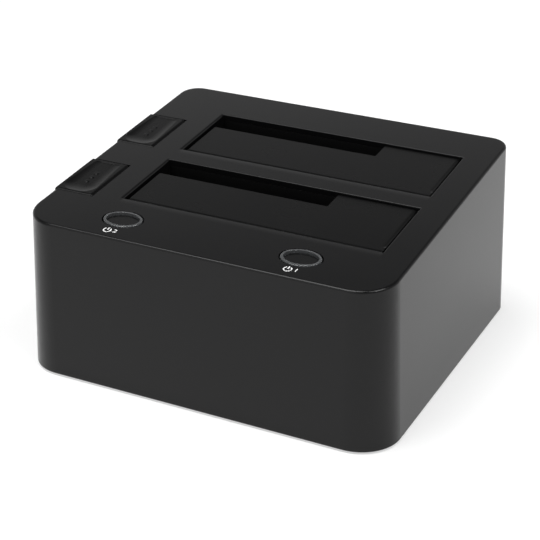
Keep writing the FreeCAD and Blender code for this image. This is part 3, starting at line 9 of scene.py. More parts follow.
import bmesh
import bpy
import json
import math
import numpy as np
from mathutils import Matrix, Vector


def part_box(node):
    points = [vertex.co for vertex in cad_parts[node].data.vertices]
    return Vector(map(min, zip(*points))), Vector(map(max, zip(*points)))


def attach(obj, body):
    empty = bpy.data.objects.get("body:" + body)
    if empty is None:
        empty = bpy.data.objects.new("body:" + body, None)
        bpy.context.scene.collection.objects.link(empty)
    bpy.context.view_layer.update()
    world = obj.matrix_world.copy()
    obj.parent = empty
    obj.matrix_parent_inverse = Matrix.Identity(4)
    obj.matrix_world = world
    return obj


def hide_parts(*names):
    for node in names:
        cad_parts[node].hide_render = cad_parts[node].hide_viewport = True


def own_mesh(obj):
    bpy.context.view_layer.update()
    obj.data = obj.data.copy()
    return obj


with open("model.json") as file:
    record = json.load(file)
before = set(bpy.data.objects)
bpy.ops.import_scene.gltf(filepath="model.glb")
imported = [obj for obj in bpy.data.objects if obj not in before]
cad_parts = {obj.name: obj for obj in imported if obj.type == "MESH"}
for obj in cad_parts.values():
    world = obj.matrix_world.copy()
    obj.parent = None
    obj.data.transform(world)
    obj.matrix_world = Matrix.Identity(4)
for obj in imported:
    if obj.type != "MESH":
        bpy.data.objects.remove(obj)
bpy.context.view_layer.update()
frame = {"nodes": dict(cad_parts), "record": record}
MM = 0.001
nodes = frame["nodes"]

# %% [markdown]
# ## Camera
# The object is seen through a long lens from the front right, a little above. The camera is
# placed by an aim point, two angles and a distance, because those can be thought about one at a
# time, which a bare matrix doesn't allow.

# %% Camera
AIM = np.array((0.0, -3.2, 29.3)) * MM
AZIMUTH = math.radians(26.39)
ELEVATION = math.radians(26.49)
DISTANCE = 580 * MM
LENS = 100.67
SENSOR = 36
CLIP = (0.01, 20)


def place_camera():
    """The camera stands at the aim point, moved back along its line of sight by the distance."""
    level = math.cos(ELEVATION)
    sight = np.array((-math.sin(AZIMUTH) * level, math.cos(AZIMUTH) * level, -math.sin(ELEVATION)))
    data = bpy.data.cameras.new("Camera")
    data.lens = LENS
    data.sensor_width = SENSOR
    data.clip_start, data.clip_end = CLIP
    camera = bpy.data.objects.new("Camera", data)
    camera.location = AIM - sight * DISTANCE
    camera.rotation_euler = (math.pi / 2 - ELEVATION, 0, AZIMUTH)
    bpy.context.scene.collection.objects.link(camera)
    bpy.context.scene.camera = camera
    return camera


camera = place_camera()
bpy.context.scene.view_settings.view_transform = "Standard"
print("camera at", [round(v, 4) for v in camera.location])

# %% [markdown]
# ## Node helpers
# A material is a small graph. These helpers keep the graphs short: they add a node and set its
# plain values, join two sockets, do a sum, spread a value over a range and start a group or a
# material.

# %% Node helpers
def add(tree, kind, name=None, **values):
    """Adds one shader node; values are attributes, or inputs with spaces for underscores."""
    node = tree.nodes.new(kind)
    if name:
        node.label = name
    for key, value in values.items():
        if hasattr(node, key):
            setattr(node, key, value)
        else:
            node.inputs[key.replace("_", " ")].default_value = value
    return node


def join(tree, source, target):
    """Joins an output socket to an input socket."""
    tree.links.new(source, target)


def new_group(name, inputs, outputs):
    """An empty shader node group with named float inputs (name, value) and outputs (name, kind)."""
    tree = bpy.data.node_groups.new(name, "ShaderNodeTree")
    for label, value in inputs:
        socket = tree.interface.new_socket(label, in_out="INPUT", socket_type="NodeSocketFloat")
        socket.default_value = value
    for label, kind in outputs:
        tree.interface.new_socket(label, in_out="OUTPUT", socket_type=kind)
    return tree, tree.nodes.new("NodeGroupInput"), tree.nodes.new("NodeGroupOutput")


def new_material(name):
    """An empty material with its tree and its shader."""
    material = bpy.data.materials.new(name)
    material.use_nodes = True
    tree = material.node_tree
    return material, tree, tree.nodes["Principled BSDF"]


def maths(tree, operation, *values):
    """The output of a math node; each value is a number or an output socket."""
    node = add(tree, "ShaderNodeMath", operation=operation)
    for place, value in zip(node.inputs, values):
        if isinstance(value, (int, float)):
            place.default_value = value
        else:
            join(tree, value, place)
    return node.outputs[0]


def spread(tree, source, low, high):
    """low + (high - low) * source, for a source between 0 and 1."""
    node = add(tree, "ShaderNodeMapRange")
    node.inputs["To Min"].default_value = low
    node.inputs["To Max"].default_value = high
    join(tree, source, node.inputs["Value"])
    return node.outputs["Result"]


print("helpers:", [tool.__name__ for tool in (add, join, new_group, new_material, maths, spread)])

# %% [markdown]
# ## Moulded skin
# Black moulded housings are never mirror flat. A spark eroded mould leaves a skin of tiny
# rounded pits, and the gloss drifts slowly over a hand's width. One group makes both, from two
# noises of very different size: the fine one goes to height, the slow one to roughness.

# %% Moulded skin group
def moulded_skin():
    """Height is fine noise, Gloss is (slow noise - 0.5) * drift, Shade is a mask near one."""
    tree, given, out = new_group(
        "Moulded Skin",
        [("Pit Size", 0.35), ("Drift", 0.05)],
        [(label, "NodeSocketFloat") for label in ("Height", "Gloss", "Shade")],
    )
    place = add(tree, "ShaderNodeTexCoord")
    per_metre = maths(tree, "DIVIDE", 1000, given.outputs["Pit Size"])
    pits = add(tree, "ShaderNodeTexNoise", "pits", Detail=2.0, Roughness=0.6)
    join(tree, place.outputs["Object"], pits.inputs["Vector"])
    join(tree, per_metre, pits.inputs["Scale"])
    join(tree, pits.outputs["Fac"], out.inputs["Height"])
    slow = add(tree, "ShaderNodeTexNoise", "drift", Scale=38.0, Detail=3.0, Roughness=0.55)
    join(tree, place.outputs["Object"], slow.inputs["Vector"])
    centred = maths(tree, "SUBTRACT", slow.outputs["Fac"], 0.5)
    join(tree, maths(tree, "MULTIPLY", centred, given.outputs["Drift"]), out.inputs["Gloss"])
    join(tree, spread(tree, pits.outputs["Fac"], 0.93, 1.06), out.inputs["Shade"])
    return tree


MOULDED_SKIN = moulded_skin()
print("group made:", MOULDED_SKIN.name)

# %% [markdown]
# ## Soft edges
# Every moulded or pressed edge has a small radius that catches a line of light. The larger radii
# are in the CAD. For the others the shader's Bevel node bends the normal near an edge, which
# costs no geometry. It feeds the Normal of the Bump node, so pits and edge work together.

# %% Plastic finish
def scaled_colour(tree, colour, mask):
    """The finish's colour times a mask near one, so that the surface is never one flat value."""
    mixed = add(tree, "ShaderNodeMix", data_type="RGBA", blend_type="MULTIPLY")
    mixed.inputs["Factor"].default_value = 1.0
    mixed.inputs[6].default_value = (*colour, 1)
    join(tree, mask, mixed.inputs[7])
    return mixed.outputs[2]


def relief(tree, height, depth, edge):
    """The normal of a bump of the given depth over soft edges of the given radius, both in mm."""
    bump = add(tree, "ShaderNodeBump", Strength=1.0, Distance=depth * MM)
    join(tree, height, bump.inputs["Height"])
    if edge:
        soft = add(tree, "ShaderNodeBevel", samples=4)
        soft.inputs["Radius"].default_value = edge * MM
        join(tree, soft.outputs["Normal"], bump.inputs["Normal"])
    return bump.outputs["Normal"]


def plastic(name, colour, rough, pit_size=0.35, depth=0.012, drift=0.06, edge=0.12, ior=1.5):
    """A moulded plastic: pits and drift from the skin group; sizes in mm."""
    material, tree, shader = new_material(name)
    shader.inputs["IOR"].default_value = ior
    skin = add(tree, "ShaderNodeGroup", node_tree=MOULDED_SKIN)
    skin.inputs["Pit Size"].default_value = pit_size
    skin.inputs["Drift"].default_value = drift
    join(tree, scaled_colour(tree, colour, skin.outputs["Shade"]), shader.inputs["Base Color"])
    join(tree, maths(tree, "ADD", skin.outputs["Gloss"], rough), shader.inputs["Roughness"])
    join(tree, relief(tree, skin.outputs["Height"], depth, edge), shader.inputs["Normal"])
    return material


black_plastic = plastic("Black Plastic", (0.0034, 0.0034, 0.0036), 0.2, edge=0.06, ior=1.34)
black_inner = plastic("Black Inner Plastic", (0.002, 0.002, 0.0021), 0.55, edge=0.05, ior=1.24)
button_black = plastic("Button Black", (0.004, 0.004, 0.0042), 0.16, edge=0.08, ior=1.34)
moving_black = plastic(
    "Moving Black", (0.002, 0.002, 0.0021), 0.27, depth=0.016, edge=0.06, ior=1.24)
print("plastics made:", [m.name for m in (black_plastic, black_inner, button_black, moving_black)])

# %% [markdown]
# ## Metals
# The rods, pins and screws are turned or drawn steel, so their grain runs round or along them.
# A noise stretched by a Mapping node gives fine lines, and the roughness follows it.

# %% Metal finish
GRAIN_DEPTH = 0.004
METAL_EDGE = 0.06
ROUGH_SWING = 0.08


def metal(name, colour, rough, stretch=(1, 1, 12), grain=260.0):
    """A metal whose roughness and height follow a noise drawn out along one axis."""
    material, tree, shader = new_material(name)
    shader.inputs["Metallic"].default_value = 1.0
    place = add(tree, "ShaderNodeTexCoord")
    turn = add(tree, "ShaderNodeMapping")
    turn.inputs["Scale"].default_value = stretch
    join(tree, place.outputs["Object"], turn.inputs["Vector"])
    lines = add(tree, "ShaderNodeTexNoise", Scale=grain, Detail=4.0, Roughness=0.65)
    join(tree, turn.outputs["Vector"], lines.inputs["Vector"])
    fine = lines.outputs["Fac"]
    roughness = spread(tree, fine, rough - ROUGH_SWING, rough + ROUGH_SWING)
    join(tree, roughness, shader.inputs["Roughness"])
    tone = spread(tree, fine, 0.86, 1.08)
    join(tree, scaled_colour(tree, colour, tone), shader.inputs["Base Color"])
    join(tree, relief(tree, fine, GRAIN_DEPTH, METAL_EDGE), shader.inputs["Normal"])
    return material


steel = metal("Steel", (0.56, 0.56, 0.57), 0.3)
spring_steel = metal("Spring Steel", (0.42, 0.42, 0.44), 0.34)
port_steel = metal("Port Steel", (0.70, 0.70, 0.71), 0.2, stretch=(1, 8, 1))
contact_gold = metal("Contact Gold", (0.78, 0.55, 0.22), 0.26, grain=900.0)
can_aluminium = metal("Can Aluminium", (0.62, 0.62, 0.64), 0.28)
METALS = (steel, spring_steel, port_steel, contact_gold, can_aluminium)
print("metals made:", [material.name for material in METALS])

# %% [markdown]
# ## Light rings
# Each power button stands in an oval of clear, slightly smoky plastic that carries light from a
# lamp inside. Unlit, it is pale where it passes light from behind and grey at the front. A
# rough transmission with a low tint gives both, where a plain grey would look painted.

# %% Ring and lamp plastics
def clear_plastic(name, colour, rough, passing):
    """A clear plastic: its tint is varied by the fine pit noise, its haze drifts with slow noise,
    the light passes by transmission.
    """
    material = plastic(name, colour, rough, pit_size=0.5, depth=0.006, edge=0.15)
    shader = material.node_tree.nodes["Principled BSDF"]
    shader.inputs["Transmission Weight"].default_value = passing
    return material


clear_grey = clear_plastic("Clear Grey", (0.30, 0.31, 0.32), 0.1, 0.8)
lamp_white = clear_plastic("Lamp White", (0.86, 0.86, 0.80), 0.3, 0.3)
print("clear plastics made:", clear_grey.name, lamp_white.name)

# %% [markdown]
# ## Board
# The circuit boards are green glass fibre under solder mask. Copper tracks show through as
# slightly lighter green. A brick pattern gives runs of tracks, and a fine noise the weave.

# %% Board finish
def board_finish():
    """Green mask with lighter tracks where a fine brick pattern has its mortar."""
    material = plastic("Board Green", (0.012, 0.085, 0.035), 0.3, pit_size=0.3, depth=0.008, edge=0)
    tree = material.node_tree
    shader = tree.nodes["Principled BSDF"]
    shader.inputs["Coat Weight"].default_value = 0.4
    place = add(tree, "ShaderNodeTexCoord")
    tracks = add(tree, "ShaderNodeTexBrick", offset=0.37, squash=1.6, squash_frequency=3)
    tracks.inputs["Color1"].default_value = (0.012, 0.080, 0.032, 1)
    tracks.inputs["Color2"].default_value = (0.014, 0.090, 0.036, 1)
    tracks.inputs["Mortar"].default_value = (0.035, 0.160, 0.060, 1)
    tracks.inputs["Scale"].default_value = 260.0
    tracks.inputs["Mortar Size"].default_value = 0.035
    join(tree, place.outputs["Object"], tracks.inputs["Vector"])
    join(tree, tracks.outputs["Color"], shader.inputs["Base Color"])
    return material


board_green = board_finish()
port_blue = plastic("Port Blue", (0.02, 0.10, 0.42), 0.35, edge=0.08)
switch_black = plastic("Switch Black", (0.02, 0.02, 0.02), 0.4, edge=0.08)
ferrite = plastic("Ferrite", (0.11, 0.11, 0.115), 0.6, pit_size=0.2, depth=0.03, edge=0.1)
header_white = plastic("Header White", (0.68, 0.66, 0.58), 0.4, edge=0.08)
cable_grey = plastic("Cable Grey", (0.42, 0.43, 0.44), 0.45, edge=0.08)
rubber = plastic("Rubber", (0.022, 0.022, 0.022), 0.72, pit_size=0.25, depth=0.05, edge=0.2)
print("board and small plastics made")

# %% [markdown]
# ## Dress the CAD nodes
# The record says which finish each node has, so the nodes are dressed from its list, and no
# node can be forgotten.

# %% Dress the nodes
FINISHES = {
    "black_plastic": black_plastic,
    "black_inner": black_inner,
    "clear_grey": clear_grey,
    "button_black": button_black,
    "rubber": rubber,
    "steel": steel,
    "spring_steel": spring_steel,
    "board_green": board_green,
    "port_blue": port_blue,
    "port_steel": port_steel,
    "contact_gold": contact_gold,
    "switch_black": switch_black,
    "lamp_white": lamp_white,
    "can_aluminium": can_aluminium,
    "ferrite": ferrite,
    "header_white": header_white,
    "cable_grey": cable_grey,
}
MOVING_PIECES = ("front_eject_button", "rear_eject_button")


def dress_nodes():
    """Gives every CAD node the finish that the record names for it, or the duller moving one."""
    for part in frame["record"]["subparts"]:
        finish = moving_black if part["node"] in MOVING_PIECES else FINISHES[part["material_slot"]]
        for slot in nodes[part["node"]].material_slots:
            slot.material = finish
    return len(frame["record"]["subparts"])


print("nodes dressed:", dress_nodes())

# %% [markdown]
# ## Mesh helpers
# Every new piece goes through the same few steps: read a node's points or box, join and turn the
# faces of a mesh, and link it as a piece that rides on a body.

# %% Mesh helpers
CAD_MERGE = 1e-6
FINE_MERGE = 1e-7


def read_points(mesh):
    """The corners of a mesh as an array of (n, 3)."""
    points = np.empty(len(mesh.vertices) * 3)
    mesh.vertices.foreach_get("co", points)
    return points.reshape(-1, 3)


def node_box(name):
    """The low and the high corner of a node."""
    return (np.array(corner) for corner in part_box(name))


def new_mesh(name, points, faces):
    """A mesh from an array of points, of any shape that ends in 3, and a list of faces."""
    mesh = bpy.data.meshes.new(name)
    mesh.from_pydata(points.reshape(-1, 3).tolist(), [], faces)
    return mesh


def face_outwards(mesh, merge=None):
    """Joins corners closer than the merge distance, if one is given, and turns faces outwards."""
    form = bmesh.new()
    form.from_mesh(mesh)
    if merge:
        bmesh.ops.remove_doubles(form, verts=form.verts, dist=merge)
    bmesh.ops.recalc_face_normals(form, faces=form.faces)
    form.to_mesh(mesh)
    form.free()


def smooth_up_to(mesh, degrees):
    """Smooth shading, with edges sharper than the angle kept sharp."""
    mesh.shade_smooth()
    mesh.set_sharp_from_angle(angle=math.radians(degrees))


def placed(name, mesh, finish, body, node):
    """Links a mesh as a piece that rides on a body, wears a finish and may stand for a CAD node."""
    mesh.materials.clear()
    mesh.materials.append(finish)
    piece = bpy.data.objects.new(name, mesh)
    bpy.context.scene.collection.objects.link(piece)
    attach(piece, body)
    if node:
        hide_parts(node)
    return piece


print("mesh helpers read", len(read_points(nodes["bridge_chips"].data)), "corners of the chips")

# %% [markdown]
# ## Screws
# All the small screws are the same kind: a low domed head with a cross recess, a thread rolled on
# a straight shank, and a blunt point. The CAD has them as plain pins, so each is drawn anew as one
# surface: a profile carried round an axis, with the thread and the recess as small changes to it.

# %% Screw places
SCREW_REACH = 6 * MM


def screw_axes(name):
    """For each screw of a node: axis x and y, head z, point z, shank radius and head radius."""
    rest = read_points(nodes[name].data)
    found = []
    while len(rest):
        near = np.abs(rest[:, :2] - rest[0, :2]).max(axis=1) < SCREW_REACH
        one, rest = rest[near], rest[~near]
        centre = (one[:, :2].min(axis=0) + one[:, :2].max(axis=0)) / 2
        reach = np.hypot(*(one[:, :2] - centre).T)
        low, high = one[:, 2].min(), one[:, 2].max()
        upper = one[:, 2] > (low + high) / 2
        heads_down = reach[upper].max() < reach[~upper].max()
        shank = reach[upper if heads_down else ~upper].max()
        ends = (low, high) if heads_down else (high, low)
        found.append((*centre, *ends, shank, reach.max()))
    return found


print("board screws stand at z:", round(screw_axes("board_screws")[0][2], 4))

# %% Screw surface
DOME_STEPS = 18
ROWS_A_TURN = 8
# Shares of the shank's radius
THREAD_DEPTH = 0.2
BLUNT_R = 0.25
TAPER_L = 0.9
# Shares of the head's radius: the head, then its recess and the run of the recess's walls
DOME_H = 0.42
HEAD_H = 0.56
RECESS_HALF = 0.17
RECESS_REACH = 0.6
RECESS_DEPTH = 0.32
RECESS_ROWS = 0.43
SIDE_RUN = 0.06
END_RUN = 0.1


def screw_profile(length, shank, head, pitch):
    """Radius and height from the head's middle, over its dome and down the shank to the point."""
    arc = np.linspace(0, math.pi / 2, DOME_STEPS)
    crown = head * np.sin(arc)
    dome = DOME_H * head * (1 - np.cos(arc))
    under = np.linspace(head, shank, 4)[1:]
    seat = HEAD_H * head
    rows = int(ROWS_A_TURN * (length - seat) / pitch)
    down = np.linspace(seat, length, rows)[1:]
    taper = np.clip((length - down) / (TAPER_L * shank), BLUNT_R, 1)
    radius = np.concatenate((crown, (head,), under, shank * taper, (0,)))
    height = np.concatenate((dome, (seat,), np.full(3, seat), down, (length,)))
    return radius, height, seat


def screw_grid(length, shank, head, pitch, columns):
    """Rows are the profile, columns the turn; the thread is a saw wave of height and turn."""
    radius, height, seat = screw_profile(length, shank, head, pitch)
    turn = np.linspace(0, 2 * math.pi, columns, endpoint=False)
    around, down = np.meshgrid(turn, height)
    out = np.repeat(radius[:, None], columns, axis=1)
    wave = np.abs(2 * ((down / pitch - around / (2 * math.pi)) % 1) - 1)
    threaded = np.clip((down - seat) / pitch, 0, 1) * (out > 0)
    out = out - THREAD_DEPTH * shank * wave * threaded * (down > seat + 1e-6)
    arms = np.abs(np.stack((np.cos(around), np.sin(around))))
    along = out * arms.max(axis=0)
    aside = out * arms.min(axis=0)
    sides = np.clip((RECESS_HALF * head - aside) / (SIDE_RUN * head), 0, 1)
    ends = np.clip((RECESS_REACH * head - along) / (END_RUN * head), 0, 1)
    dished = 1 - 0.5 * along / head
    sunk = RECESS_DEPTH * head * (sides * ends) * dished * (down < RECESS_ROWS * head)
    return np.stack((out * np.cos(around), out * np.sin(around), down + sunk), axis=-1)


def grid_faces(rows, columns):
    """Quads of a grid closed round its columns, wound so that they face away from the axis."""
    row, column = np.meshgrid(np.arange(rows - 1), np.arange(columns), indexing="ij")
    here = row * columns + column
    beside = row * columns + (column + 1) % columns
    return np.stack((here, here + columns, beside + columns, beside), axis=-1).reshape(-1, 4)


def detailed_screws(name, pitch, columns=48):
    """All the screws of a node as one mesh; a screw whose head is below is the grid turned over."""
    points, faces, count = [], [], 0
    for x, y, head_z, point_z, shank, head in screw_axes(name):
        way = 1 if point_z > head_z else -1
        grid = screw_grid(abs(point_z - head_z), shank, head, pitch, columns)
        sides = grid_faces(*grid.shape[:2])
        flat = grid.reshape(-1, 3) * (1, way, way) + (x, y, head_z)
        points.append(flat)
        faces.append(sides + count)
        count += len(flat)
    mesh = new_mesh(name + "_threaded", np.vstack(points), np.vstack(faces).tolist())
    face_outwards(mesh, merge=FINE_MERGE)
    smooth_up_to(mesh, 40)
    return placed(name + "_threaded", mesh, steel, "chassis", name)


# Thread pitches in mm
THREADS = {"base_screws": 1.1, "board_screws": 0.9, "bay_screws": 0.8, "button_board_screws": 0.9}
screws = [detailed_screws(name, pitch * MM) for name, pitch in THREADS.items()]
print("screws:", [(piece.name, len(piece.data.polygons)) for piece in screws])

# %% [markdown]
# ## Eject springs
# A coil spring shortens when its button goes down, which a rigid solid can't show. A merged copy
# of each coil stands for it. How far it would keep its height follows from the button's travel,
# and is worked out here; the copy itself keeps the coil's full height.

# %% Eject coils
COIL_ROOM = 0.1 * MM


def merged_copy(name):
    """A node's mesh with its loose triangles joined."""
    form = bmesh.new()
    form.from_mesh(nodes[name].data)
    bmesh.ops.remove_doubles(form, verts=form.verts, dist=CAD_MERGE)
    mesh = bpy.data.meshes.new(name + "_merged")
    form.to_mesh(mesh)
    form.free()
    smooth_up_to(mesh, 50)
    return mesh


def eject_coil(side):
    """The height kept is (height - travel) / height; the copy is placed unchanged on the chassis.
    """
    node = side + "_eject_spring"
    joints = {joint["name"]: joint for joint in frame["record"]["behaviour"]["joints"]}
    joint = joints[side + "_eject_press"]
    travel = max(abs(limit) for limit in joint["range_m"])
    low, high = node_box(node)
    kept = 1 - (travel + COIL_ROOM) / (high[2] - low[2])
    mesh = merged_copy(node)
    coil = placed(side + "_eject_coil", mesh, spring_steel, "chassis", node)
    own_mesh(coil)
    return round(float(kept), 3)


print("height kept by the eject coils:", [eject_coil(side) for side in ("front", "rear")])

# %% [markdown]
# ## Board fittings
# A real board is known by its small things: the rows of bent legs round a chip, the white
# outlines printed round each part, and the solder that stands under every pin. Each is one small
# form repeated, so one form is worked out once and copied to all its places as arrays.

# %% Chip legs
chip_low, chip_high = node_box("bridge_chips")
(_, _, BOARD_LOW), (_, BOARD_BACK, BOARD_TOP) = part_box("main_board")
LARGE_CHIP = 14 * MM
SMALL_CHIP = (8 * MM, 6 * MM)
LARGE_ROW = (12 * MM, 0.5 * MM)
SMALL_ROW = (5.08 * MM, 1.27 * MM)
LEG_THICK = 0.13 * MM
LEG_SHARE = 0.44
LEG_LINE = np.array((
    (-0.2, 0.80), (0.25, 0.80), (0.40, 0.70), (0.55, 0.16), (0.70, 0.06), (1.10, 0.06))) * MM


def leg_row(middle, outward, half, span, pitch):
    """Bent strips along the leg line, each a leg's width across and a sheet thick."""
    outward = np.array(outward, float)
    aside = np.array((-outward[1], outward[0]))
    steps = np.arange(-span / 2, span / 2 + 1e-9, pitch)
    lines = np.repeat(LEG_LINE[None], 4, axis=0)
    lines[2:, :, 1] -= LEG_THICK / 2
    lines[:2, :, 1] += LEG_THICK / 2
    across = np.array((-1, 1, 1, -1)) * (LEG_SHARE * pitch) / 2
    flat = (half + lines[..., 0])[..., None] * outward + across[:, None, None] * aside
    flat = flat[None] + steps[:, None, None, None] * aside + np.array(middle)
    height = np.broadcast_to(lines[None, ..., 1:] + BOARD_TOP, (*flat.shape[:-1], 1))
    return np.moveaxis(np.concatenate((flat, height), axis=-1), 1, 2)


def tube_faces(count, rows, sides):
    """Walls and caps of tubes in a stack; the walls come out as whole quads for four sides only."""
    steps = (np.arange(count), np.arange(rows - 1), np.arange(sides))
    tube, row, side = np.meshgrid(*steps, indexing="ij")
    start = (tube * rows + row) * sides
    after = start + sides
    beside = (side + 1) % sides
    walls = np.stack((start + side, start + beside, after + beside, after + side), -1)
    first = np.arange(count)[:, None] * rows * sides + np.arange(sides)[::-1]
    last = np.arange(count)[:, None] * rows * sides + (rows - 1) * sides + np.arange(sides)
    return walls.reshape(-1, sides).tolist() + first.tolist() + last.tolist()


def chip_legs():
    """Four rows round the large chip and two beside the small one."""
    centre_y = (chip_low[1] + chip_high[1]) / 2
    large = (chip_high[0] - LARGE_CHIP / 2, centre_y)
    small = (chip_low[0] + SMALL_CHIP[0] / 2, centre_y)
    ways = ((1, 0), (-1, 0), (0, 1), (0, -1))
    rows = [leg_row(large, way, LARGE_CHIP / 2, *LARGE_ROW) for way in ways]
    rows += [leg_row(small, way, SMALL_CHIP[1] / 2, *SMALL_ROW) for way in ways[2:]]
    legs = np.concatenate(rows)
    mesh = new_mesh("chip_legs", legs, tube_faces(len(legs), legs.shape[1], 4))
    face_outwards(mesh)
    placed("chip_legs", mesh, port_steel, "chassis", None)
    return len(legs)


print("chip legs:", chip_legs())

# %% Solder joints
# Node, columns, rows, margin and shift to the back in mm
PIN_BLOCKS = (
    ("usb_port_core", 4, 2, 2.2, 0),
    ("dc_jack", 2, 2, 2.0, 0),
    ("clone_switch", 2, 2, 1.2, 0),
    ("capacitors", 6, 1, 2.0, 1.1),
    ("cable_headers", 5, 1, 1.6, 1.6),
)
SOLDER_R = 0.75 * MM
SOLDER_H = 0.8 * MM
SOLDER_ROOM = 1.2 * MM
SOLDER_ROWS = 7
SIDES = 16


def pin_rows(name, columns, rows, margin):
    """Places for a block of pins, evenly spread inside a node's outline less a margin."""
    low, high = node_box(name)
    xs = np.linspace(low[0] + margin, high[0] - margin, columns)
    ys = np.linspace(low[1] + margin, high[1] - margin, rows)
    return np.stack(np.meshgrid(xs, ys), axis=-1).reshape(-1, 2)


def solder_joints():
    """Small bells below the board: height = h * (1 - t)^2 at the share t of the radius."""
    places = np.vstack([
        pin_rows(name, columns, rows, margin * MM) + (0, shift * MM)
        for name, columns, rows, margin, shift in PIN_BLOCKS
    ])
    places = places[places[:, 1] < BOARD_BACK - SOLDER_ROOM]
    share = np.linspace(1, 0, SOLDER_ROWS)[:, None]
    turn = np.linspace(0, 2 * math.pi, SIDES, endpoint=False)
    radius = SOLDER_R * share
    height = np.broadcast_to(-SOLDER_H * (1 - share) ** 2, (SOLDER_ROWS, SIDES))
    bell = np.stack((radius * np.cos(turn), radius * np.sin(turn), height), axis=-1)
    points = bell[None] + np.column_stack((places, np.full(len(places), BOARD_LOW)))[:, None, None]
    mesh = new_mesh("solder_joints", points, tube_faces(len(places), SOLDER_ROWS, SIDES))
    face_outwards(mesh, merge=FINE_MERGE)
    mesh.shade_smooth()
    placed("solder_joints", mesh, can_aluminium, "chassis", None)
    return len(places)


print("solder joints:", solder_joints())

# %% Chip resistors
RESISTOR = np.array((0.8, 1.3, 0.45)) * MM
RESISTOR_CAP = np.array((0.84, 0.3, 0.5)) * MM
CAP_SHIFT = 0.72 * MM
FRONT_ROW_GAP = 2.6 * MM
FRONT_ROW_COUNT = 8
SIDE_ROW = np.array((-16, 3.0)) * MM


def small_blocks(name, places, size, finish, shift=0.0):
    """Rounded blocks: |x|^4 + |z|^4 = 1 carried along y, drawn in a little at both ends."""
    turn = np.linspace(0, 2 * math.pi, SIDES, endpoint=False)
    side = np.sign(np.cos(turn)) * np.sqrt(np.abs(np.cos(turn)))
    rise = np.sign(np.sin(turn)) * np.sqrt(np.abs(np.sin(turn)))
    reach = np.array((-1, -0.96, 0.96, 1)) / 2
    grow = np.array((0.9, 1, 1, 0.9))
    block = np.stack((
        grow[:, None] * side * size[0] / 2,
        np.repeat(reach[:, None] * size[1] + shift, SIDES, axis=1),
        grow[:, None] * rise * size[2] / 2 + size[2] / 2,
    ), axis=-1)
    points = block[None] + np.column_stack((places, np.full(len(places), BOARD_TOP)))[:, None, None]
    mesh = new_mesh(name, points, tube_faces(len(places), len(reach), SIDES))
    face_outwards(mesh)
    smooth_up_to(mesh, 40)
    return placed(name, mesh, finish, "chassis", None)


front_row = np.linspace(chip_high[0] - LARGE_CHIP, chip_high[0], FRONT_ROW_COUNT)
side_row = front_row[::2] + SIDE_ROW[0]
spots = np.vstack((
    np.column_stack((front_row, np.full(len(front_row), chip_low[1] - FRONT_ROW_GAP))),
    np.column_stack((side_row, np.full(len(side_row), chip_low[1] + SIDE_ROW[1]))),
))
small_blocks("resistor_bodies", spots, RESISTOR, switch_black)
for end, way in (("front", -1), ("back", 1)):
    name = "resistor_caps_" + end
    small_blocks(name, spots, RESISTOR_CAP, can_aluminium, way * CAP_SHIFT)
print("chip resistors:", len(spots))

# %% Printed outlines on the board
# The farthest that two corners of one body stand apart in x or y, in mm
BODY_REACH = {
    "bridge_chips": 20, "capacitors": 7, "inductors": 10, "dc_jack": 30, "usb_port_shell": 30,
    "front_sata_connector": 60, "rear_sata_connector": 60, "clone_switch": 20,
}
PRINT_MARGINS = np.array((0.5, 0.7))[:, None] * MM
PRINT_LIFT = 0.02 * MM
PRINT_ROOM = 0.8 * MM


def footprints(name, reach):
    """The x and y extent of every body in a node, told apart by the distance between them."""
    rest = read_points(nodes[name].data)[:, :2]
    found = []
    while len(rest):
        near = np.abs(rest - rest[0]).max(axis=1) < reach
        found.append((*rest[near].min(axis=0), *rest[near].max(axis=0)))
        rest = rest[~near]
    return found


def board_print(ink):
    """Frames 0.2 mm wide, half a millimetre outside each part: an inner and an outer rectangle."""
    boxes = [box for name, reach in BODY_REACH.items() for box in footprints(name, reach * MM)]
    boxes = np.array(boxes)
    back = np.minimum(boxes[:, 3], BOARD_BACK - PRINT_ROOM)
    x0, x1 = boxes[:, 0] - PRINT_MARGINS, boxes[:, 2] + PRINT_MARGINS
    y0, y1 = boxes[:, 1] - PRINT_MARGINS, back + PRINT_MARGINS
    rings = np.stack((np.stack((x0, x1, x1, x0)), np.stack((y0, y0, y1, y1))), axis=-1)
    flat = np.moveaxis(np.moveaxis(rings, 2, 0), 1, 2).reshape(-1, 2)
    points = np.column_stack((flat, np.full(len(flat), BOARD_TOP + PRINT_LIFT)))
    first = np.arange(len(boxes))[:, None] * 8
    corner = np.arange(4)
    beside = (corner + 1) % 4
    outer = first + 4
    faces = np.stack((first + corner, outer + corner, outer + beside, first + beside), axis=-1)
    mesh = new_mesh("board_print", points, faces.reshape(-1, 4).tolist())
    placed("board_print", mesh, ink, "chassis", None)
    return len(boxes)


white_ink = plastic(
    "White Ink", (0.80, 0.80, 0.80), 0.5, pit_size=0.2, depth=0.01, drift=0.1, edge=0)
print("printed outlines:", board_print(white_ink))

# %% [markdown]
# ## Flap ends
# The right end of each flap is rounded like a shoulder, so a hand that reaches in doesn't meet a
# sharp corner, and a shadow gathers between it and the mouth. A Bevel modifier can't be kept to
# one edge of a CAD mesh, so a merged copy of the node is cut by planes near its end and its top is
# lowered by a formula. The end is also drawn in by half a millimetre, so that its gap shows. The
# copy then stands for the node.

# %% Rounded flap ends
SLOPE = math.radians(4.35)
SHOULDER_RUN = 1.5 * MM
SHOULDER_DROP = 1.1 * MM
END_DRAWN_IN = 0.5 * MM
HINGE_R = 2.5 * MM
LAST_LOOP = 5 * MM
DRAWN_RUN = 3 * MM
FADE = np.linspace(1.9, 3.4, 5) * MM
SHOULDER_TURN = np.radians(np.linspace(0, 80, 9))
NEXT_LOOP = 0.15 * MM
TOP_SKIN = 0.01 * MM
SQUARE_COSINE = 0.9985


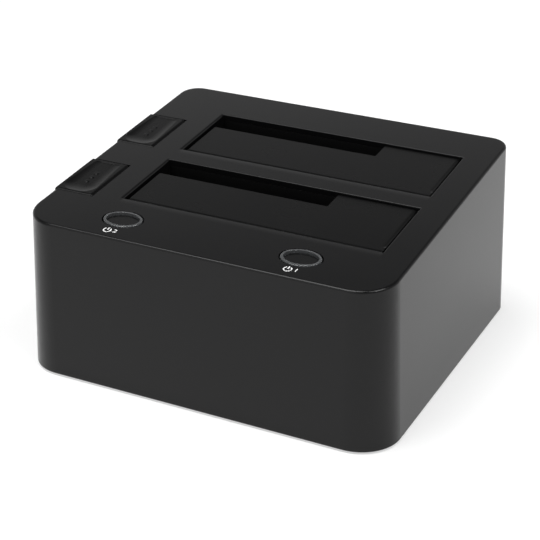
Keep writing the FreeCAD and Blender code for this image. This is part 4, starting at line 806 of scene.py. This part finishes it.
def cut_copy(source, planes):
    """A merged copy of a mesh with an edge loop along every plane (point, normal)."""
    form = bmesh.new()
    form.from_mesh(source)
    bmesh.ops.remove_doubles(form, verts=form.verts, dist=CAD_MERGE)
    for point, normal in planes:
        every = form.verts[:] + form.edges[:] + form.faces[:]
        bmesh.ops.bisect_plane(
            form, geom=every, plane_co=point, plane_no=normal, dist=FINE_MERGE)
    bmesh.ops.dissolve_degenerate(form, edges=form.edges[:], dist=2 * CAD_MERGE)
    bmesh.ops.triangulate(form, faces=form.faces[:])
    copy = bpy.data.meshes.new(source.name + "_copy")
    form.to_mesh(copy)
    form.free()
    return copy


def shoulder_drop(gap):
    """A quarter ellipse: drop = b - b * sqrt(1 - (1 - d / a)^2) at a distance d from the end."""
    share = np.clip(1 - gap / SHOULDER_RUN, 0, 1)
    return SHOULDER_DROP * (1 - np.sqrt(1 - share**2))


def shade_by_form(mesh):
    """Faces square to the flap's own three directions stay flat; the curved ones are smooth."""
    smooth_up_to(mesh, 24)
    normals = np.empty(len(mesh.polygons) * 3)
    mesh.polygons.foreach_get("normal", normals)
    up = (0, -math.sin(SLOPE), math.cos(SLOPE))
    along = (0, math.cos(SLOPE), math.sin(SLOPE))
    leaning = np.abs(normals.reshape(-1, 3) @ np.array(((1, 0, 0), up, along)).T)
    square = leaning.max(axis=1) > SQUARE_COSINE
    mesh.polygons.foreach_set("use_smooth", ~square)


def rounded_flap(name, body):
    """The flap with a shouldered right end; the top falls from behind the hinge barrel onwards."""
    low, high = node_box(name)
    end = high[0]
    hinge_y = low[1] + HINGE_R
    runs = SHOULDER_RUN * (1 - np.sin(SHOULDER_TURN))
    runs = np.append(runs, (SHOULDER_RUN + NEXT_LOOP, LAST_LOOP))
    planes = [((end - run, 0, 0), (1, 0, 0)) for run in runs]
    planes += [((0, hinge_y + step, 0), (0, 1, 0)) for step in FADE]
    mesh = cut_copy(nodes[name].data, planes)
    points = read_points(mesh)
    level = points[:, 2] - points[:, 1] * math.tan(SLOPE)
    on_top_face = level > level.max() - TOP_SKIN
    behind = np.clip((points[:, 1] - hinge_y - FADE[0]) / (FADE[-1] - FADE[0]), 0, 1)
    points[:, 2] -= on_top_face * behind * shoulder_drop(end - points[:, 0])
    points[:, 0] -= END_DRAWN_IN * np.clip((points[:, 0] - end + LAST_LOOP) / DRAWN_RUN, 0, 1)
    mesh.vertices.foreach_set("co", points.ravel())
    shade_by_form(mesh)
    return placed(name + "_panel", mesh, moving_black, body, name)


flaps = [rounded_flap(name, name + "_body") for name in ("front_flap", "rear_flap")]
print("flap faces:", [len(flap.data.polygons) for flap in flaps])

# %% [markdown]
# ## Studio
# A wide pale floor, a soft grey world and large lamps. The floor has a little light of its own,
# so that it looks white, directly and in anything that mirrors it. Diffuse rays don't see that
# light, so it adds none to the object.

# %% Studio
HORIZON_LEVEL = 0.62
OVERHEAD_LEVEL = 0.14
HORIZON_UP_TO = math.radians(18)
OVERHEAD_FROM = math.radians(40)
FLOOR_GREY = 0.55
FLOOR_LIFT = 0.5
FLOOR_HALF = 3.0
LAMPS = (
    ("KeyLamp", (-0.45, -0.35, 1.8), 1.2, 25),
    ("FillLamp", (-0.5, -1.6, 1.1), 1.6, 5),
    ("EdgeLamp", (0.83, -0.18, 1.36), 0.7, 11),
)


def floor_finish():
    """Pale paint, plus a light of its own that only camera, mirror and clear rays see."""
    material, tree, shader = new_material("Studio Floor")
    shader.inputs["Base Color"].default_value = (FLOOR_GREY, FLOOR_GREY, FLOOR_GREY, 1)
    shader.inputs["Roughness"].default_value = 0.9
    shader.inputs["Specular IOR Level"].default_value = 0.0
    rays = add(tree, "ShaderNodeLightPath")
    seen = maths(tree, "MAXIMUM", rays.outputs["Is Camera Ray"], rays.outputs["Is Glossy Ray"])
    seen = maths(tree, "MAXIMUM", seen, rays.outputs["Is Transmission Ray"])
    shader.inputs["Emission Color"].default_value = (1, 1, 1, 1)
    join(tree, maths(tree, "MULTIPLY", seen, FLOOR_LIFT), shader.inputs["Emission Strength"])
    return material


def studio_floor():
    """A square floor under the feet, as one face."""
    corners = np.array(((-1, -1, 0), (1, -1, 0), (1, 1, 0), (-1, 1, 0))) * FLOOR_HALF
    mesh = new_mesh("StudioFloor", corners, [(0, 1, 2, 3)])
    floor = bpy.data.objects.new("StudioFloor", mesh)
    mesh.materials.append(floor_finish())
    bpy.context.scene.collection.objects.link(floor)
    return floor


def soft_lamp(name, place, size, power):
    """A square area lamp that faces the object."""
    data = bpy.data.lights.new(name, "AREA")
    data.size = size
    data.energy = power
    lamp = bpy.data.objects.new(name, data)
    lamp.location = place
    bpy.context.scene.collection.objects.link(lamp)
    towards = AIM - np.array(place)
    tilt = math.atan2(math.hypot(towards[0], towards[1]), -towards[2])
    lamp.rotation_euler = (tilt, 0, math.atan2(towards[1], towards[0]) - math.pi / 2)
    return lamp


def studio_world():
    """A grey room, paler towards the horizon: the level falls as the sight line's height rises."""
    world = bpy.data.worlds.new("Studio")
    world.use_nodes = True
    tree = world.node_tree
    sight = add(tree, "ShaderNodeTexCoord")
    height = add(tree, "ShaderNodeSeparateXYZ")
    join(tree, sight.outputs["Generated"], height.inputs[0])
    level = add(tree, "ShaderNodeMapRange", interpolation_type="SMOOTHSTEP")
    level.inputs["From Min"].default_value = math.sin(HORIZON_UP_TO)
    level.inputs["From Max"].default_value = math.sin(OVERHEAD_FROM)
    level.inputs["To Min"].default_value = HORIZON_LEVEL
    level.inputs["To Max"].default_value = OVERHEAD_LEVEL
    join(tree, height.outputs["Z"], level.inputs["Value"])
    join(tree, level.outputs["Result"], tree.nodes["Background"].inputs["Strength"])
    tree.nodes["Background"].inputs["Color"].default_value = (1, 1, 1, 1)
    return world


floor = studio_floor()
bpy.context.scene.world = studio_world()
lamps = [soft_lamp(*lamp) for lamp in LAMPS]
print("floor:", floor.name, "lamps:", [lamp.name for lamp in lamps])

# %% [markdown]
# ## Printed marks
# Beside each ring the housing carries a power sign and the number of its bay in white pad
# print. The sign is a broken ring with a bar, made as flat strips that stand a few hundredths
# of a millimetre off the skin, as a thick ink does.

# %% Printed marks
MID_HEIGHT = 66.7 * MM
INK = 0.02 * MM
SIGN_RING = (1.15 * MM, 1.62 * MM)
SIGN_ARC = (125, 415)
SIGN_STEPS = 40
SIGN_BAR = np.array(((-0.27, 0.1), (0.27, 0.1), (0.27, 1.8), (-0.27, 1.8))) * MM
NUMERAL_H = 2.1 * MM
NUMERAL_FILL = 0.7
THICKENED = 0.04 * MM


def on_top(points, centre):
    """Lays flat points about the centre on the sloping top, an ink's thickness up."""
    x = centre[0] + points[:, 0]
    y = centre[1] + points[:, 1] * math.cos(SLOPE)
    z = MID_HEIGHT + y * math.tan(SLOPE) + INK
    return np.column_stack((x, y, z))


def printed(name, points, faces, centre, ink):
    """A flat mesh of faces laid on the top, with its ink, riding on the chassis."""
    mesh = new_mesh(name, on_top(points, centre), faces)
    return placed(name, mesh, ink, "chassis", None)


def strip(inner, outer, start, stop, steps):
    """A flat arc: radius and angle are the two parameters, on a grid of two rows."""
    angle = np.radians(np.linspace(start, stop, steps + 1))
    inside = np.column_stack((inner * np.cos(angle), inner * np.sin(angle)))
    outside = np.column_stack((outer * np.cos(angle), outer * np.sin(angle)))
    first = np.arange(steps)
    faces = np.column_stack((first, first + steps + 1, first + steps + 2, first + 1))
    return np.vstack((inside, outside)), faces.tolist()


def power_sign(name, centre):
    """A broken ring of 3.4 mm with a bar from its gap to its middle."""
    points, faces = strip(*SIGN_RING, *SIGN_ARC, SIGN_STEPS)
    first = len(points)
    faces.append([first, first + 1, first + 2, first + 3])
    return printed(name, np.vstack((points, SIGN_BAR)), faces, centre, white_ink)


def numeral(name, text, centre):
    """A numeral in the plain built-in type, made a mesh and then laid on the top."""
    curve = bpy.data.curves.new(name, "FONT")
    curve.body = text
    curve.size = NUMERAL_H / NUMERAL_FILL
    curve.offset = THICKENED
    curve.align_x = "CENTER"
    curve.align_y = "CENTER"
    letter = bpy.data.objects.new(name + "_curve", curve)
    bpy.context.scene.collection.objects.link(letter)
    bpy.context.view_layer.update()
    flat = bpy.data.meshes.new_from_object(letter)
    faces = [list(face.vertices) for face in flat.polygons]
    bpy.data.objects.remove(letter)
    return printed(name, read_points(flat)[:, :2], faces, centre, white_ink)


marks = [
    power_sign("power_sign_1", (34.3 * MM, -59.0 * MM)),
    power_sign("power_sign_2", (-36.5 * MM, -59.3 * MM)),
    numeral("bay_number_1", "1", (37.4 * MM, -58.9 * MM)),
    numeral("bay_number_2", "2", (-33.4 * MM, -59.2 * MM)),
]
print("printed marks:", [mark.name for mark in marks])
